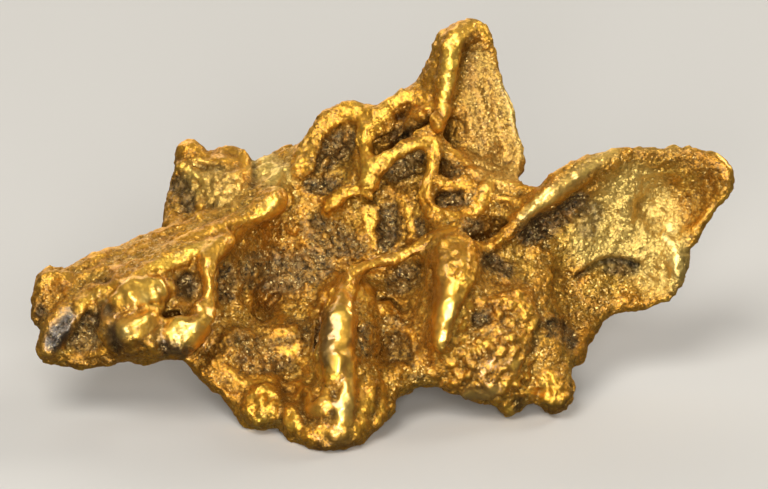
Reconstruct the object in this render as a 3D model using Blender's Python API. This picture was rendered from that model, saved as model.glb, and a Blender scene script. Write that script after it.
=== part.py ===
"""A natural gold nugget: a ragged, spiky piece of native gold that stands on its own feet.

Every form is placed on the nugget's broad face, in millimetres: across to the right, up the face,
and out in front of it. The whole face leans back by LEAN, and the feet are worn flat where they
stand. Four steps make it: a lumpy body, hollows carved into it, ridges and knobs grown over it,
and one skin round everything.
"""

import math
import random

import bmesh
import bpy
from mathutils import Matrix, Vector
from mathutils.bvhtree import BVHTree

# Driving dimensions, in millimetres and degrees.
MM = 0.001
LEAN = math.radians(25.0)
FLOOR_OUT = 5.0  # how far out the front foot meets the floor, at the foot of the face
BODY_VOXEL = 0.3
SKIN_VOXEL = 0.22
SAMPLES_PER_MM = 3.0
TUBE_SIDES_LEVEL = 2
WEB_COLUMNS = 14
WEB_ROWS = 7
WEB_EDGE = 0.35  # how thick a web is along its rails, as a share of its middle
MOST_TRIANGLES = 9700
SEED = 7
GOLD = (0.83, 0.53, 0.16, 1.0)

# Ridges, columns and rims: (across, up, out, radius) along each one.
RIDGES = {
    "arm_spine": [
        (-5.6, 8.4, -0.6, 1.3), (-7.6, 6.9, 1, 1.7), (-9.2, 6.1, 1.7, 1.75), (-11.2, 5.6, 2, 1.6),
        (-12.7, 5.5, 2.1, 1.15)
    ],
    "arm_top_edge": [
        (-4.6, 10.2, -0.6, 0.8), (-7, 8.9, 0.3, 0.8), (-9.4, 8.1, 0.9, 0.7),
        (-11.2, 7.6, 1.5, 0.55), (-12.6, 7, 1.9, 0.5), (-13.4, 6.8, 2.1, 0.5)
    ],
    "arm_roll": [
        (-4.4, 10, 0.7, 0.7), (-5.2, 9.4, 1, 0.45), (-6.2, 9, 1.5, 0.45), (-7.4, 8.5, 2.1, 0.5),
        (-8.8, 7.7, 2.7, 0.55), (-10.4, 7, 3.1, 0.5)
    ],
    "arm_loop": [
        (-6.3, 8.4, 2.2, 0.45), (-6.9, 7.8, 3, 0.45), (-7, 6.8, 3.6, 0.42), (-7, 6, 3.9, 0.45),
        (-7.1, 5.4, 4, 0.6), (-8, 4.6, 3.9, 0.85), (-9.4, 4.7, 4.1, 0.9), (-10.5, 5, 4.1, 0.9),
        (-9.9, 6.1, 3.9, 0.8), (-9.1, 6.5, 3.7, 0.7)
    ],
    "end_facet": [
        (-12.2, 5.8, 3.4, 0.5), (-12.9, 4.9, 3.6, 0.6), (-13.3, 4.1, 3.4, 0.55)
    ],
    "end_rim": [
        (-13.25, 7.1, 2.4, 0.45), (-13.6, 6.5, 2.5, 0.42), (-13.6, 5.6, 2.6, 0.42),
        (-13.3, 4.9, 2.8, 0.4), (-13.4, 4.1, 3, 0.45), (-12.9, 3.8, 3, 0.4), (-11.9, 3.7, 3, 0.4),
        (-11, 3.9, 3.2, 0.5), (-10, 4.3, 3.4, 0.6)
    ],
    "tower_left": [
        (-8.3, 8.6, -0.4, 0.65), (-8.15, 9.9, -1.2, 0.75), (-7.9, 11, -1.6, 0.65),
        (-7.9, 12, -1.8, 0.6)
    ],
    "tower_right": [
        (-5.2, 9.5, -0.9, 1), (-5.6, 10.4, -1.5, 0.9), (-5.9, 11.4, -1.9, 0.75),
        (-6.3, 11.8, -1.9, 0.6)
    ],
    "tower_saddle": [
        (-7.9, 12.1, -1.8, 0.45), (-7.2, 11.6, -1.7, 0.45), (-6.5, 11.8, -1.9, 0.5),
        (-5.8, 11.7, -2, 0.5)
    ],
    "pale_lump": [
        (-4.6, 11.1, -2.2, 0.85), (-4.1, 9.8, -1.7, 1.2)
    ],
    "cell_rim_left": [
        (-3.3, 11.2, -0.5, 0.5), (-3.1, 12.1, -0.8, 0.5), (-2.6, 13, -1, 0.5),
        (-1.8, 13.6, -1.1, 0.5), (-1.2, 13.75, -1.1, 0.45), (-0.7, 13.5, -0.8, 0.45),
        (-0.9, 12.4, -0.1, 0.4), (-0.6, 11.7, 0.2, 0.4), (-0.5, 10.7, 0.7, 0.4)
    ],
    "cell_rim_mid": [
        (-0.5, 13.6, -0.9, 0.4), (0.1, 12.9, -0.2, 0.4), (0.1, 13.7, -0.5, 0.45),
        (0.7, 14.15, -0.7, 0.48), (1.4, 14.2, -0.7, 0.5), (2.1, 14.2, -0.4, 0.45)
    ],
    "peak_roll": [
        (3.4, 16.9, -0.2, 0.45), (2.9, 16.5, 0.1, 0.5), (2.6, 15.9, 0.2, 0.5),
        (2.5, 15.2, 0.3, 0.45), (2.4, 14.3, 0.4, 0.4), (2.5, 13.6, 0.5, 0.4), (2, 12.9, 0.6, 0.4),
        (1.2, 12.5, 0.6, 0.4), (0.5, 12, 0.7, 0.4), (-0.2, 11.4, 0.8, 0.4), (-0.5, 10.7, 0.9, 0.4)
    ],
    "peak_shoulder": [
        (3.4, 16.8, -0.6, 0.5), (2.5, 16.5, -0.6, 0.55), (2.4, 15.7, -0.7, 0.6),
        (2.1, 14.8, -0.8, 0.7), (1.8, 13.8, -0.8, 0.8)
    ],
    "peak_edge": [
        (3.4, 16.95, -0.3, 0.4), (4, 16.8, -0.3, 0.4), (4.3, 16.2, -0.3, 0.35),
        (4.35, 15.5, -0.2, 0.3), (4.7, 14.7, -0.1, 0.3), (5, 13.7, 0, 0.3), (5.3, 12.5, 0, 0.3),
        (5.4, 11.2, 0.1, 0.35)
    ],
    "cell_bar_1": [
        (2.1, 12.2, 0.6, 0.3), (1.8, 11.2, 0.9, 0.35), (1.6, 10.2, 1.1, 0.4)
    ],
    "cell_bar_2": [
        (2.2, 12.3, 0.4, 0.3), (3, 11.8, 0.4, 0.28), (3.6, 11, 0.7, 0.3)
    ],
    "cell_bar_3": [
        (2.3, 10.7, 0.9, 0.32), (3.1, 10.7, 1, 0.35), (3.7, 11, 0.9, 0.35)
    ],
    "cell_bar_4": [
        (3.9, 10.8, 0.9, 0.4), (3.8, 9.8, 1.1, 0.45)
    ],
    "cell_bar_5": [
        (1.8, 9.6, 1.2, 0.35), (2.6, 9.4, 1.3, 0.4), (3.8, 9.7, 1.2, 0.35), (4.8, 9.9, 1, 0.35)
    ],
    "cell_bar_6": [
        (3.8, 10.8, 0.7, 0.4), (4.6, 10.8, 0.7, 0.4), (5.4, 10.4, 0.8, 0.45), (6, 10.1, 1, 0.45)
    ],
    "basin_rib": [
        (-2.3, 9.7, 0.6, 0.35), (-1.9, 10.2, 0.5, 0.35), (-1.4, 10.5, 0.6, 0.35),
        (-0.9, 10.4, 0.7, 0.3), (-0.5, 10, 0.8, 0.3)
    ],
    "column_1": [
        (2.8, 9, 1.5, 0.45), (1.9, 8.5, 1.8, 0.4), (1.2, 8.2, 2, 0.4), (0.7, 7.8, 2.1, 0.4),
        (-0.2, 7.6, 2.2, 0.4), (-0.9, 7.4, 2.4, 0.4), (-1.4, 6.9, 2.7, 0.42),
        (-1.6, 6.1, 3.2, 0.5), (-1.8, 5.3, 3.6, 0.65), (-1.9, 4.3, 4.1, 0.7),
        (-1.8, 3.1, 4.5, 0.7), (-1.65, 2.1, 4.6, 0.8), (-1.8, 1.1, 4.5, 1)
    ],
    "front_foot": [
        (-3.4, 1.3, 3.9, 0.85), (-2.6, 1, 4.2, 0.95), (-1.7, 0.95, 4.3, 1), (-0.8, 1.5, 3.9, 0.8),
        (-0.1, 1.9, 3.3, 0.7)
    ],
    "column_2": [
        (2.8, 8, 2, 0.9), (2.8, 7.1, 2.7, 0.9), (2.6, 6.1, 3.2, 0.75), (2.4, 5.1, 3.5, 0.62),
        (2.3, 4.3, 3.5, 0.5)
    ],
    "skirt_foot": [
        (-6.9, 3.3, 2.4, 0.7), (-5.9, 2.5, 2.7, 0.65), (-5, 1.6, 2.9, 0.75), (-4.2, 1.8, 3.2, 0.7),
        (-3.4, 1.3, 3.8, 0.7)
    ],
    "right_foot_inner": [
        (4.6, 4.2, 2.5, 1), (5, 2.9, 2.4, 0.75), (5, 1.9, 2.1, 0.6)
    ],
    "right_foot_outer": [
        (6.2, 4.4, 1.6, 1), (6.7, 3.2, 1.8, 0.85), (6.8, 2.3, 1.8, 0.85)
    ],
    "low_arch": [
        (0.4, 3, 2.8, 0.7), (1.8, 3.2, 2.6, 0.6), (3.2, 2.9, 2.6, 0.7), (4.4, 2.6, 2.5, 0.7)
    ],
    "wing_rim": [
        (5.3, 9.2, 1.6, 0.35), (6, 9.9, 1.7, 0.45), (6.8, 10.5, 1.5, 0.6), (7.8, 11.2, 1.2, 0.6),
        (9, 11.65, 0.9, 0.5), (10, 11.95, 0.7, 0.4), (11, 11.95, 0.6, 0.35), (12.3, 12, 0.6, 0.35),
        (13.2, 11.7, 0.6, 0.4), (13.75, 11.1, 0.6, 0.4), (13.7, 10.5, 0.5, 0.35)
    ],
    "wing_lower_edge": [
        (13.7, 10.5, 0.5, 0.35), (13.2, 9.8, 0.3, 0.3), (12.6, 9, 0.2, 0.3),
        (11.85, 8.1, 0.2, 0.35), (11.8, 6.8, 0.1, 0.35), (11.2, 6.1, 0, 0.3),
        (10.2, 5.75, -0.1, 0.3), (9, 5.6, 0, 0.35), (8.2, 4.8, 0.4, 0.4), (7.6, 3.8, 1, 0.5)
    ],
    "wing_rim_back": [
        (7.8, 10.8, 0.4, 0.6), (9, 11.2, 0.2, 0.55), (11, 11.5, 0.1, 0.5), (13, 11.2, 0.1, 0.5)
    ],
    "back_ridge": [
        (-7.2, 9.6, -2.6, 0.5), (-4.6, 9.9, -3.4, 0.7), (-1.5, 10.6, -3.7, 0.8),
        (1.6, 10.9, -3.6, 0.7), (4.4, 10.2, -3.0, 0.6), (7.4, 9.8, -1.6, 0.45), (10.5, 10.0, -1.0, 0.35)
    ],
    "back_ridge_left": [
        (-1.5, 10.6, -3.7, 0.7), (-3.2, 8.8, -4.3, 0.7), (-4.8, 6.8, -4.6, 0.8), (-5.4, 5.2, -4.8, 0.9)
    ],
    "back_ridge_right": [
        (1.6, 10.9, -3.6, 0.6), (2.8, 9.2, -4.3, 0.7), (4.4, 7.0, -4.4, 0.8), (5.0, 5.2, -4.7, 0.9)
    ],
    "back_ridge_peak": [
        (1.2, 11.0, -3.4, 0.7), (2.2, 13.0, -2.6, 0.6), (3.0, 15.0, -1.6, 0.5), (3.3, 16.2, -0.9, 0.4)
    ],
    "throat_ridge": [
        (4.2, 8.5, 1.7, 0.35), (4.8, 8.7, 1.7, 0.35), (5.4, 9.2, 1.6, 0.35)
    ],
    "column_1_core": [
        (-1.3, 6.4, 1.4, 0.9), (-1.5, 4.6, 2.4, 1.1), (-1.6, 2.8, 3.1, 1.2)
    ],
}

# Webs of metal: a rail, a second rail, the dish between them and the thickness.
WEBS = {
    "wing": (
        [
            (5, 9.6, 1.2), (6.8, 10.6, 1), (9, 11.5, 0.6), (11, 11.8, 0.4), (13.4, 11.3, 0.4)
        ],
        [
            (4.6, 5, 1.4), (7.6, 4.6, 0.7), (9.2, 5.8, 0.2), (11.3, 6.5, 0.1), (13.2, 10, 0.3)
        ],
        0.5,
        1.7,
    ),
    "peak": (
        [
            (2.3, 10.2, 0.2), (2.5, 12.6, 0.1), (2.6, 14.6, 0), (2.9, 16.4, -0.2)
        ],
        [
            (5.3, 9.8, 0.6), (5.1, 12.4, 0.1), (4.6, 14.8, -0.1), (4, 16.4, -0.3)
        ],
        0.15,
        1.5,
    ),
    "crest": (
        [
            (-3.3, 11, -1), (-2.5, 12.5, -1.3), (-1, 13.1, -1.4), (1, 13.4, -1.2), (2.6, 14, -0.8)
        ],
        [
            (-4, 9.4, -0.4), (-2.4, 9.6, 0.1), (0, 9.2, 0.5), (2, 9.2, 0.8), (5, 9.4, 0.8)
        ],
        0.2,
        2.8,
    ),
    "basin": (
        [
            (-4.4, 9.6, -0.4), (-2.4, 9.6, 0.1), (0, 9.2, 0.5), (2, 9.2, 0.8), (3.4, 9.2, 1)
        ],
        [
            (-6.6, 3.2, 2.6), (-4.8, 1.9, 3.2), (-2.6, 1.3, 4), (0, 2, 3.4), (1.2, 3, 2.8)
        ],
        1.3,
        3,
    ),
    "arm": (
        [
            (-13.2, 7.1, 2.2), (-11.4, 7.6, 1.8), (-9.4, 8.2, 1.2), (-7, 8.9, 0.6),
            (-4.4, 9.8, -0.2)
        ],
        [
            (-13.1, 4, 2.9), (-11.4, 3.8, 3), (-9.2, 3.9, 3.4), (-7.2, 3.4, 3), (-5.9, 2.8, 2.8)
        ],
        0,
        2.4,
    ),
    "tower": (
        [
            (-8.5, 8.7, -0.6), (-7.9, 10.2, -1.3), (-7.6, 11.5, -1.7)
        ],
        [
            (-4.8, 9.2, -0.6), (-5.4, 10.2, -1.4), (-5.9, 11.2, -1.8)
        ],
        -0.1,
        1.6,
    ),
    "lobe": (
        [
            (1.8, 8.6, 1.6), (3.4, 8.4, 1.8), (5, 8.4, 1.4), (6.6, 7.6, 0.8)
        ],
        [
            (1, 3, 2.8), (3.2, 2.8, 2.9), (5, 2.2, 2.7), (7, 2.4, 2.2)
        ],
        -0.4,
        3.6,
    ),
}

# The lumps that fill the back and the underside: (x, y, z, radius), standing.
BACK_LUMPS = [
    (-6.2, 3.8, 2.9, 1.5), (-4.2, 5.4, 2.6, 1.8), (-1.6, 5.0, 2.9, 1.8), (1.2, 5.6, 2.7, 1.9),
    (4.0, 5.0, 2.7, 1.8), (6.2, 3.6, 3.1, 1.5), (-3.2, 1.4, 2.3, 1.3), (0.5, 1.6, 2.9, 1.5),
    (4.0, 1.2, 2.6, 1.2), (-5.8, 4.6, 5.0, 1.8), (-2.8, 5.6, 5.2, 2.2), (0.8, 6.1, 5.2, 2.3),
    (4.2, 5.5, 5.2, 2.1), (7.4, 4.6, 5.6, 1.5), (9.6, 4.6, 6.0, 1.0), (-6.3, 5.3, 7.2, 1.0),
    (-3.0, 6.2, 7.0, 1.5), (-0.2, 7.0, 7.6, 1.7), (2.6, 7.2, 8.2, 1.6), (4.2, 6.4, 7.2, 1.1),
    (-1.6, 7.3, 8.8, 0.9), (0.8, 7.6, 9.3, 1.0), (2.8, 7.9, 10.5, 0.9), (3.4, 8.2, 12.1, 0.6),
    (-8.6, 2.0, 5.0, 1.2), (-10.4, 1.3, 4.6, 1.0), (-12.0, 1.0, 4.4, 0.7),
    (-5.6, 5.6, 1.5, 1.2), (-4.2, 6.4, 1.3, 1.2), (-3.0, 6.6, 1.7, 1.1), (-6.6, 4.4, 1.7, 0.9),
    (-1.2, 6.8, 1.9, 1.1), (0.8, 6.6, 1.6, 1.0), (2.6, 6.4, 1.5, 1.1), (4.2, 6.1, 1.3, 1.1),
    (5.4, 5.2, 1.6, 1.2), (6.4, 4.2, 2.0, 0.9), (-0.8, 1.2, 2.0, 1.2), (-0.9, 3.4, 1.7, 1.3),
]

# Bowls sunk into the broad face: (across, up, radius, depth).
FACE_HOLLOWS = [
    (-2.5, 11.4, 0.75, 0.8), (-1.8, 12.1, 0.75, 0.8), (0.7, 12.9, 0.6, 0.7), (0.9, 11.4, 0.75, 0.8),
    (2.6, 11.3, 0.45, 0.6), (2.8, 10.1, 0.5, 0.6), (0.2, 9.0, 0.7, 0.8), (1.4, 9.0, 0.4, 0.5),
    (-3.0, 7.5, 1.0, 0.9), (-4.8, 8.1, 0.7, 0.6), (-1.4, 9.1, 0.6, 0.5), (-4.6, 6.1, 0.8, 0.6),
    (-2.8, 9.1, 0.6, 0.5), (-3.2, 5.4, 0.6, 0.5), (-4.3, 4.2, 0.5, 0.4), (-8.0, 6.8, 0.5, 0.7),
    (-12.3, 4.9, 0.45, 0.6), (-13.6, 5.5, 0.3, 0.3), (-11.1, 6.8, 0.35, 0.4), (0.3, 6.2, 1.1, 0.9),
    (-0.2, 4.4, 1.0, 0.8), (0.9, 7.3, 0.7, 0.6), (1.2, 2.8, 0.4, 0.5), (6.5, 8.3, 0.5, 0.8),
    (4.4, 7.7, 0.55, 0.6), (9.6, 7.2, 0.6, 0.35), (10.4, 9.6, 1.0, 0.4), (8.2, 9.4, 0.9, 0.4),
    (7.4, 6.4, 0.7, 0.35), (11.9, 10.6, 0.6, 0.3), (-8.0, 10.5, 0.45, 0.35), (-6.6, 9.9, 0.5, 0.3),
    (3.9, 13.4, 0.6, 0.25), (4.3, 11.9, 0.6, 0.25),
]

# Bowls scattered over the back: (x, z, half width, half height, bowls, largest radius).
BACK_HOLLOWS = {
    "middle": (0.0, 5.0, 6.5, 3.2, 26, 0.9),
    "wing": (9.0, 6.6, 3.6, 1.6, 8, 0.6),
    "arm": (-9.5, 4.6, 3.0, 1.2, 8, 0.6),
}

# Bowls scattered over the underside: (x, y, half width, half depth, bowls, largest radius).
UNDER_HOLLOWS = {"middle": (0.0, 2.6, 4.6, 2.6, 14, 0.9)}

# Knobs scattered over the broad face: (across, up, half width, half height, knobs, largest radius).
FACE_KNOBS = {
    "lobe": (4.3, 4.6, 1.6, 2.2, 30, 0.75),
    "skirt": (-4.8, 3.9, 1.5, 1.3, 24, 0.7),
    "right_foot": (6.5, 3.0, 0.7, 0.9, 9, 0.6),
    "front_foot": (-1.9, 1.6, 1.5, 0.7, 12, 0.6),
    "basin_foot": (-0.2, 4.6, 0.8, 1.9, 12, 0.6),
    "basin": (-3.2, 7.2, 1.9, 1.9, 24, 0.6),
    "wing": (9.4, 8.7, 2.7, 2.0, 30, 0.55),
    "wing_root": (6.4, 7.2, 1.4, 1.6, 16, 0.6),
    "tower": (-6.9, 10.3, 0.9, 1.1, 12, 0.55),
    "arm_top": (-9.6, 7.3, 2.6, 0.5, 14, 0.55),
    "arm_end": (-12.4, 5.2, 0.9, 1.1, 8, 0.45),
    "crest": (-0.6, 11.2, 2.4, 1.5, 12, 0.45),
}

# Knobs scattered over the back: (x, z, half width, half height, knobs, largest radius).
BACK_KNOBS = {
    "middle": (0.0, 5.4, 6.6, 3.2, 80, 0.8),
    "wing": (9.4, 6.8, 3.6, 1.5, 22, 0.45),
    "arm": (-9.8, 4.8, 3.0, 1.3, 22, 0.5),
    "peak": (3.2, 11.0, 0.9, 1.8, 12, 0.4),
    "tower": (-6.6, 8.0, 1.2, 1.2, 12, 0.45),
}

# Knobs scattered over the underside: (x, y, half width, half depth, knobs, largest radius).
UNDER_KNOBS = {
    "middle": (0.0, 2.4, 5.2, 3.0, 36, 0.6),
    "arm": (-9.6, -0.4, 3.0, 1.4, 16, 0.45),
    "wing": (9.2, 3.2, 3.0, 1.4, 14, 0.4),
}


def on_face(across, up, out):
    """A point of the broad face, in millimetres, as a place in metres above the floor."""
    return Vector((
        across,
        up * math.sin(LEAN) - out * math.cos(LEAN),
        up * math.cos(LEAN) + (out - FLOOR_OUT) * math.sin(LEAN),
    )) * MM


def bend(before, start, end, after, t):
    """One number of a Catmull-Rom curve, a share t of the way from start to end."""
    return 0.5 * (
        2 * start
        + (end - before) * t
        + (2 * before - 5 * start + 4 * end - after) * t**2
        + (3 * start - before - 3 * end + after) * t**3
    )


def through(points, samples_per_mm=SAMPLES_PER_MM):
    """Points along a smooth curve through the given ones."""
    found = []
    last = len(points) - 1
    for i in range(last):
        around = points[max(i - 1, 0)], points[i], points[i + 1], points[min(i + 2, last)]
        steps = max(2, round(math.dist(around[1][:3], around[2][:3]) * samples_per_mm))
        for step in range(steps):
            found.append(tuple(bend(*values, step / steps) for values in zip(*around)))
    return [*found, tuple(points[-1])]


def add_ball(form, centre, radius):
    made = bmesh.ops.create_icosphere(form, subdivisions=2, radius=radius * MM)
    bmesh.ops.translate(form, verts=made["verts"], vec=centre)


def add_ridge(form, points):
    """A rolled ridge of changing thickness with round ends."""
    route = through(points)
    curve = bpy.data.curves.new("ridge", "CURVE")
    curve.dimensions = "3D"
    curve.bevel_depth = MM
    curve.bevel_resolution = TUBE_SIDES_LEVEL
    curve.use_fill_caps = True
    spline = curve.splines.new("POLY")
    spline.points.add(len(route) - 1)
    for point, (across, up, out, radius) in zip(spline.points, route):
        point.co = (*on_face(across, up, out), 1.0)
        point.radius = radius
    guide = stand(curve, "ridge")
    bpy.context.view_layer.update()
    form.from_mesh(guide.to_mesh())
    guide.to_mesh_clear()
    bpy.data.objects.remove(guide)
    for across, up, out, radius in (points[0], points[-1]):
        add_ball(form, on_face(across, up, out), radius)


def evenly(rail, count):
    """The rail as count points, evenly spaced along its smooth curve."""
    route = through(rail, samples_per_mm=8.0)
    return [route[round(i * (len(route) - 1) / (count - 1))] for i in range(count)]


def add_web(form, rail_a, rail_b, dish, thickness):
    """A plate of metal that spans two rails, hollowed by dish in the middle and swollen behind."""
    rows_a, rows_b = evenly(rail_a, WEB_COLUMNS), evenly(rail_b, WEB_COLUMNS)
    grids = []
    for back in (0.0, thickness):
        grid = []
        for row in range(WEB_ROWS):
            t = row / (WEB_ROWS - 1)
            swell = WEB_EDGE + (1 - WEB_EDGE) * math.sqrt(4 * t * (1 - t))
            behind = Vector((0.0, 0.0, dish * 4 * t * (1 - t) + back * swell))
            grid.append([
                form.verts.new(on_face(*(Vector(a).lerp(Vector(b), t) - behind)))
                for a, b in zip(rows_a, rows_b)
            ])
        grids.append(grid)
    front, rear = grids
    for row in range(WEB_ROWS - 1):
        for column in range(WEB_COLUMNS - 1):
            for grid, order in ((front, 1), (rear, -1)):
                corners = [
                    grid[row][column],
                    grid[row + 1][column],
                    grid[row + 1][column + 1],
                    grid[row][column + 1],
                ]
                form.faces.new(corners[::order])
    border = [(0, column) for column in range(WEB_COLUMNS)]
    border += [(row, WEB_COLUMNS - 1) for row in range(1, WEB_ROWS)]
    border += [(WEB_ROWS - 1, column) for column in range(WEB_COLUMNS - 2, -1, -1)]
    border += [(row, 0) for row in range(WEB_ROWS - 2, 0, -1)]
    for (r, c), (s, d) in zip(border, border[1:] + border[:1]):
        form.faces.new([front[r][c], front[s][d], rear[s][d], rear[r][c]])


def mesh_of(form, name):
    """The form as a mesh with its faces pointing out."""
    bmesh.ops.recalc_face_normals(form, faces=form.faces)
    mesh = bpy.data.meshes.new(name)
    form.to_mesh(mesh)
    form.free()
    return mesh


def stand(data, name):
    thing = bpy.data.objects.new(name, data)
    bpy.context.scene.collection.objects.link(thing)
    return thing


def applied(thing):
    """The thing's mesh with its modifiers applied. The thing itself is removed."""
    bpy.context.view_layer.update()
    graph = bpy.context.evaluated_depsgraph_get()
    mesh = bpy.data.meshes.new_from_object(thing.evaluated_get(graph))
    bpy.data.objects.remove(thing)
    return mesh


def fuse(thing, voxel):
    remesh = thing.modifiers.new("fuse", "REMESH")
    remesh.mode = "VOXEL"
    remesh.voxel_size = voxel * MM


def soften(thing, rounds):
    smooth = thing.modifiers.new("soften", "SMOOTH")
    smooth.factor = 0.5
    smooth.iterations = rounds


def roughen(thing, kind, grain, height):
    """Lumps and pits of one grain size, in millimetres."""
    texture = bpy.data.textures.new(f"{kind.lower()}_{grain}", kind)
    texture.noise_scale = grain * MM
    displace = thing.modifiers.new("roughen", "DISPLACE")
    displace.texture = texture
    displace.texture_coords = "GLOBAL"
    displace.mid_level = 0.5
    displace.strength = height * MM


def front_of(tree, across, up):
    """Where the body's broad face is met, and the way out of it."""
    way_out = on_face(0.0, 0.0, 1.0) - on_face(0.0, 0.0, 0.0)
    return tree.ray_cast(on_face(across, up, 20.0), -way_out)[0], way_out.normalized()


def back_of(tree, x, z):
    """Where the body's back is met, and the way out of it."""
    way_out = Vector((0.0, 1.0, 0.0))
    return tree.ray_cast(Vector((x, 30.0, z)) * MM, -way_out)[0], way_out


def under_of(tree, x, y):
    """Where the body's underside is met, and the way out of it."""
    way_out = Vector((0.0, 0.0, -1.0))
    return tree.ray_cast(Vector((x, y, -30.0)) * MM, -way_out)[0], way_out


def scatter(chance, across, up, half_width, half_height, count):
    """Random spots within an oval."""
    for _ in range(count):
        turn = chance.uniform(0.0, math.tau)
        reach = math.sqrt(chance.random())
        yield across + half_width * reach * math.cos(turn), up + half_height * reach * math.sin(turn)


def lumpy_body():
    form = bmesh.new()
    for rail_a, rail_b, dish, thickness in WEBS.values():
        add_web(form, rail_a, rail_b, dish, thickness)
    for x, y, z, radius in BACK_LUMPS:
        add_ball(form, Vector((x, y, z)) * MM, radius)
    body = stand(mesh_of(form, "body"), "body")
    fuse(body, BODY_VOXEL)
    soften(body, 2)
    roughen(body, "CLOUDS", 1.4, 0.9)
    return applied(body)


def hollows(tree, chance):
    form = bmesh.new()
    for across, up, radius, depth in FACE_HOLLOWS:
        met, way_out = front_of(tree, across, up)
        if met:
            add_ball(form, met + way_out * (radius - depth) * MM, radius)
    for patches, meet in ((BACK_HOLLOWS, back_of), (UNDER_HOLLOWS, under_of)):
        for *oval, largest in patches.values():
            for spot in scatter(chance, *oval):
                met, way_out = meet(tree, *spot)
                if met:
                    radius = largest * chance.uniform(0.5, 1.0)
                    add_ball(form, met + way_out * radius * 0.5 * MM, radius)
    cutter = stand(mesh_of(form, "hollows"), "hollows")
    fuse(cutter, SKIN_VOXEL)
    cutter.hide_render = True
    cutter.display_type = "WIRE"
    return cutter


def add_knobs(form, tree, chance, patches, meet):
    for *oval, largest in patches.values():
        for spot in scatter(chance, *oval):
            met, way_out = meet(tree, *spot)
            if met:
                radius = largest * chance.uniform(0.5, 1.0)
                add_ball(form, met - way_out * radius * chance.uniform(-0.1, 0.5) * MM, radius)


def worn_flat_feet(mesh):
    """Cuts off what lies under the floor and closes the cut."""
    form = bmesh.new()
    form.from_mesh(mesh)
    everything = [*form.verts, *form.edges, *form.faces]
    bmesh.ops.bisect_plane(
        form, geom=everything, plane_co=(0, 0, 0), plane_no=(0, 0, 1), clear_inner=True
    )
    rims = [edge for edge in form.edges if edge.is_boundary]
    feet = bmesh.ops.holes_fill(form, edges=rims, sides=0)["faces"]
    for vert in {vert for face in feet for vert in face.verts}:
        vert.co.z = 0.0
    bmesh.ops.triangulate(form, faces=form.faces)
    return mesh_of(form, "nugget")


def centred(mesh):
    """Moves the mesh so that the middle of its length and depth is the origin."""
    xs = [vert.co.x for vert in mesh.vertices]
    ys = [vert.co.y for vert in mesh.vertices]
    middle = Vector((min(xs) + max(xs), min(ys) + max(ys), 0.0)) / 2
    mesh.transform(Matrix.Translation(-middle))
    return mesh


def gold_material():
    material = bpy.data.materials.new("native_gold")
    material.use_nodes = True
    shader = material.node_tree.nodes["Principled BSDF"]
    shader.inputs["Base Color"].default_value = GOLD
    shader.inputs["Metallic"].default_value = 1.0
    shader.inputs["Roughness"].default_value = 0.38
    return material


def main():
    for thing in list(bpy.data.objects):
        bpy.data.objects.remove(thing)
    chance = random.Random(SEED)

    body = stand(lumpy_body(), "body")
    bpy.context.view_layer.update()
    tree = BVHTree.FromObject(body, bpy.context.evaluated_depsgraph_get())
    carve = body.modifiers.new("carve", "BOOLEAN")
    carve.operation = "DIFFERENCE"
    carve.solver = "EXACT"
    carve.object = hollows(tree, chance)
    carved = applied(body)
    bpy.data.objects.remove(bpy.data.objects["hollows"])

    form = bmesh.new()
    form.from_mesh(carved)
    for points in RIDGES.values():
        add_ridge(form, points)
    add_knobs(form, tree, chance, FACE_KNOBS, front_of)
    add_knobs(form, tree, chance, BACK_KNOBS, back_of)
    add_knobs(form, tree, chance, UNDER_KNOBS, under_of)
    rough = stand(mesh_of(form, "rough"), "rough")
    fuse(rough, SKIN_VOXEL)
    soften(rough, 1)
    roughen(rough, "CLOUDS", 0.7, 0.35)
    skin = applied(rough)

    whole = stand(skin, "whole")
    thin = whole.modifiers.new("thin_out", "DECIMATE")
    thin.ratio = MOST_TRIANGLES / sum(len(face.vertices) - 2 for face in skin.polygons)
    nugget = stand(centred(worn_flat_feet(applied(whole))), "nugget")
    nugget.data.materials.clear()
    nugget.data.materials.append(gold_material())


main()
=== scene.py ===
import math
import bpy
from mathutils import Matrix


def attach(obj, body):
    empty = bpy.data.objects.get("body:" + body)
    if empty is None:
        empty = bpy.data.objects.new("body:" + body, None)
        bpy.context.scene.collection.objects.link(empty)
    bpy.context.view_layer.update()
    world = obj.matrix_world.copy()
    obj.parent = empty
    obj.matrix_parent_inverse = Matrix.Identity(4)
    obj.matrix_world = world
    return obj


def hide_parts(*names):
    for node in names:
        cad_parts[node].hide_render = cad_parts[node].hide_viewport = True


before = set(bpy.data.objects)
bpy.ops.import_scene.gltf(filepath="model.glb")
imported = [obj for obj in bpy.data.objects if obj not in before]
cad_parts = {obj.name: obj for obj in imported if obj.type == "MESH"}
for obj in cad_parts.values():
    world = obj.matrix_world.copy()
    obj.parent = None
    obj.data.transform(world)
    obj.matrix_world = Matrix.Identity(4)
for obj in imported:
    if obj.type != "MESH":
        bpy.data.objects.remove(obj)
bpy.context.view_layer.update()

from types import SimpleNamespace

import bmesh
import bpy
import numpy as np
from mathutils import Vector, noise
from mathutils.bvhtree import BVHTree

# Lengths here are in millimetres and become metres where they meet Blender.
MM = 0.001

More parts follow.
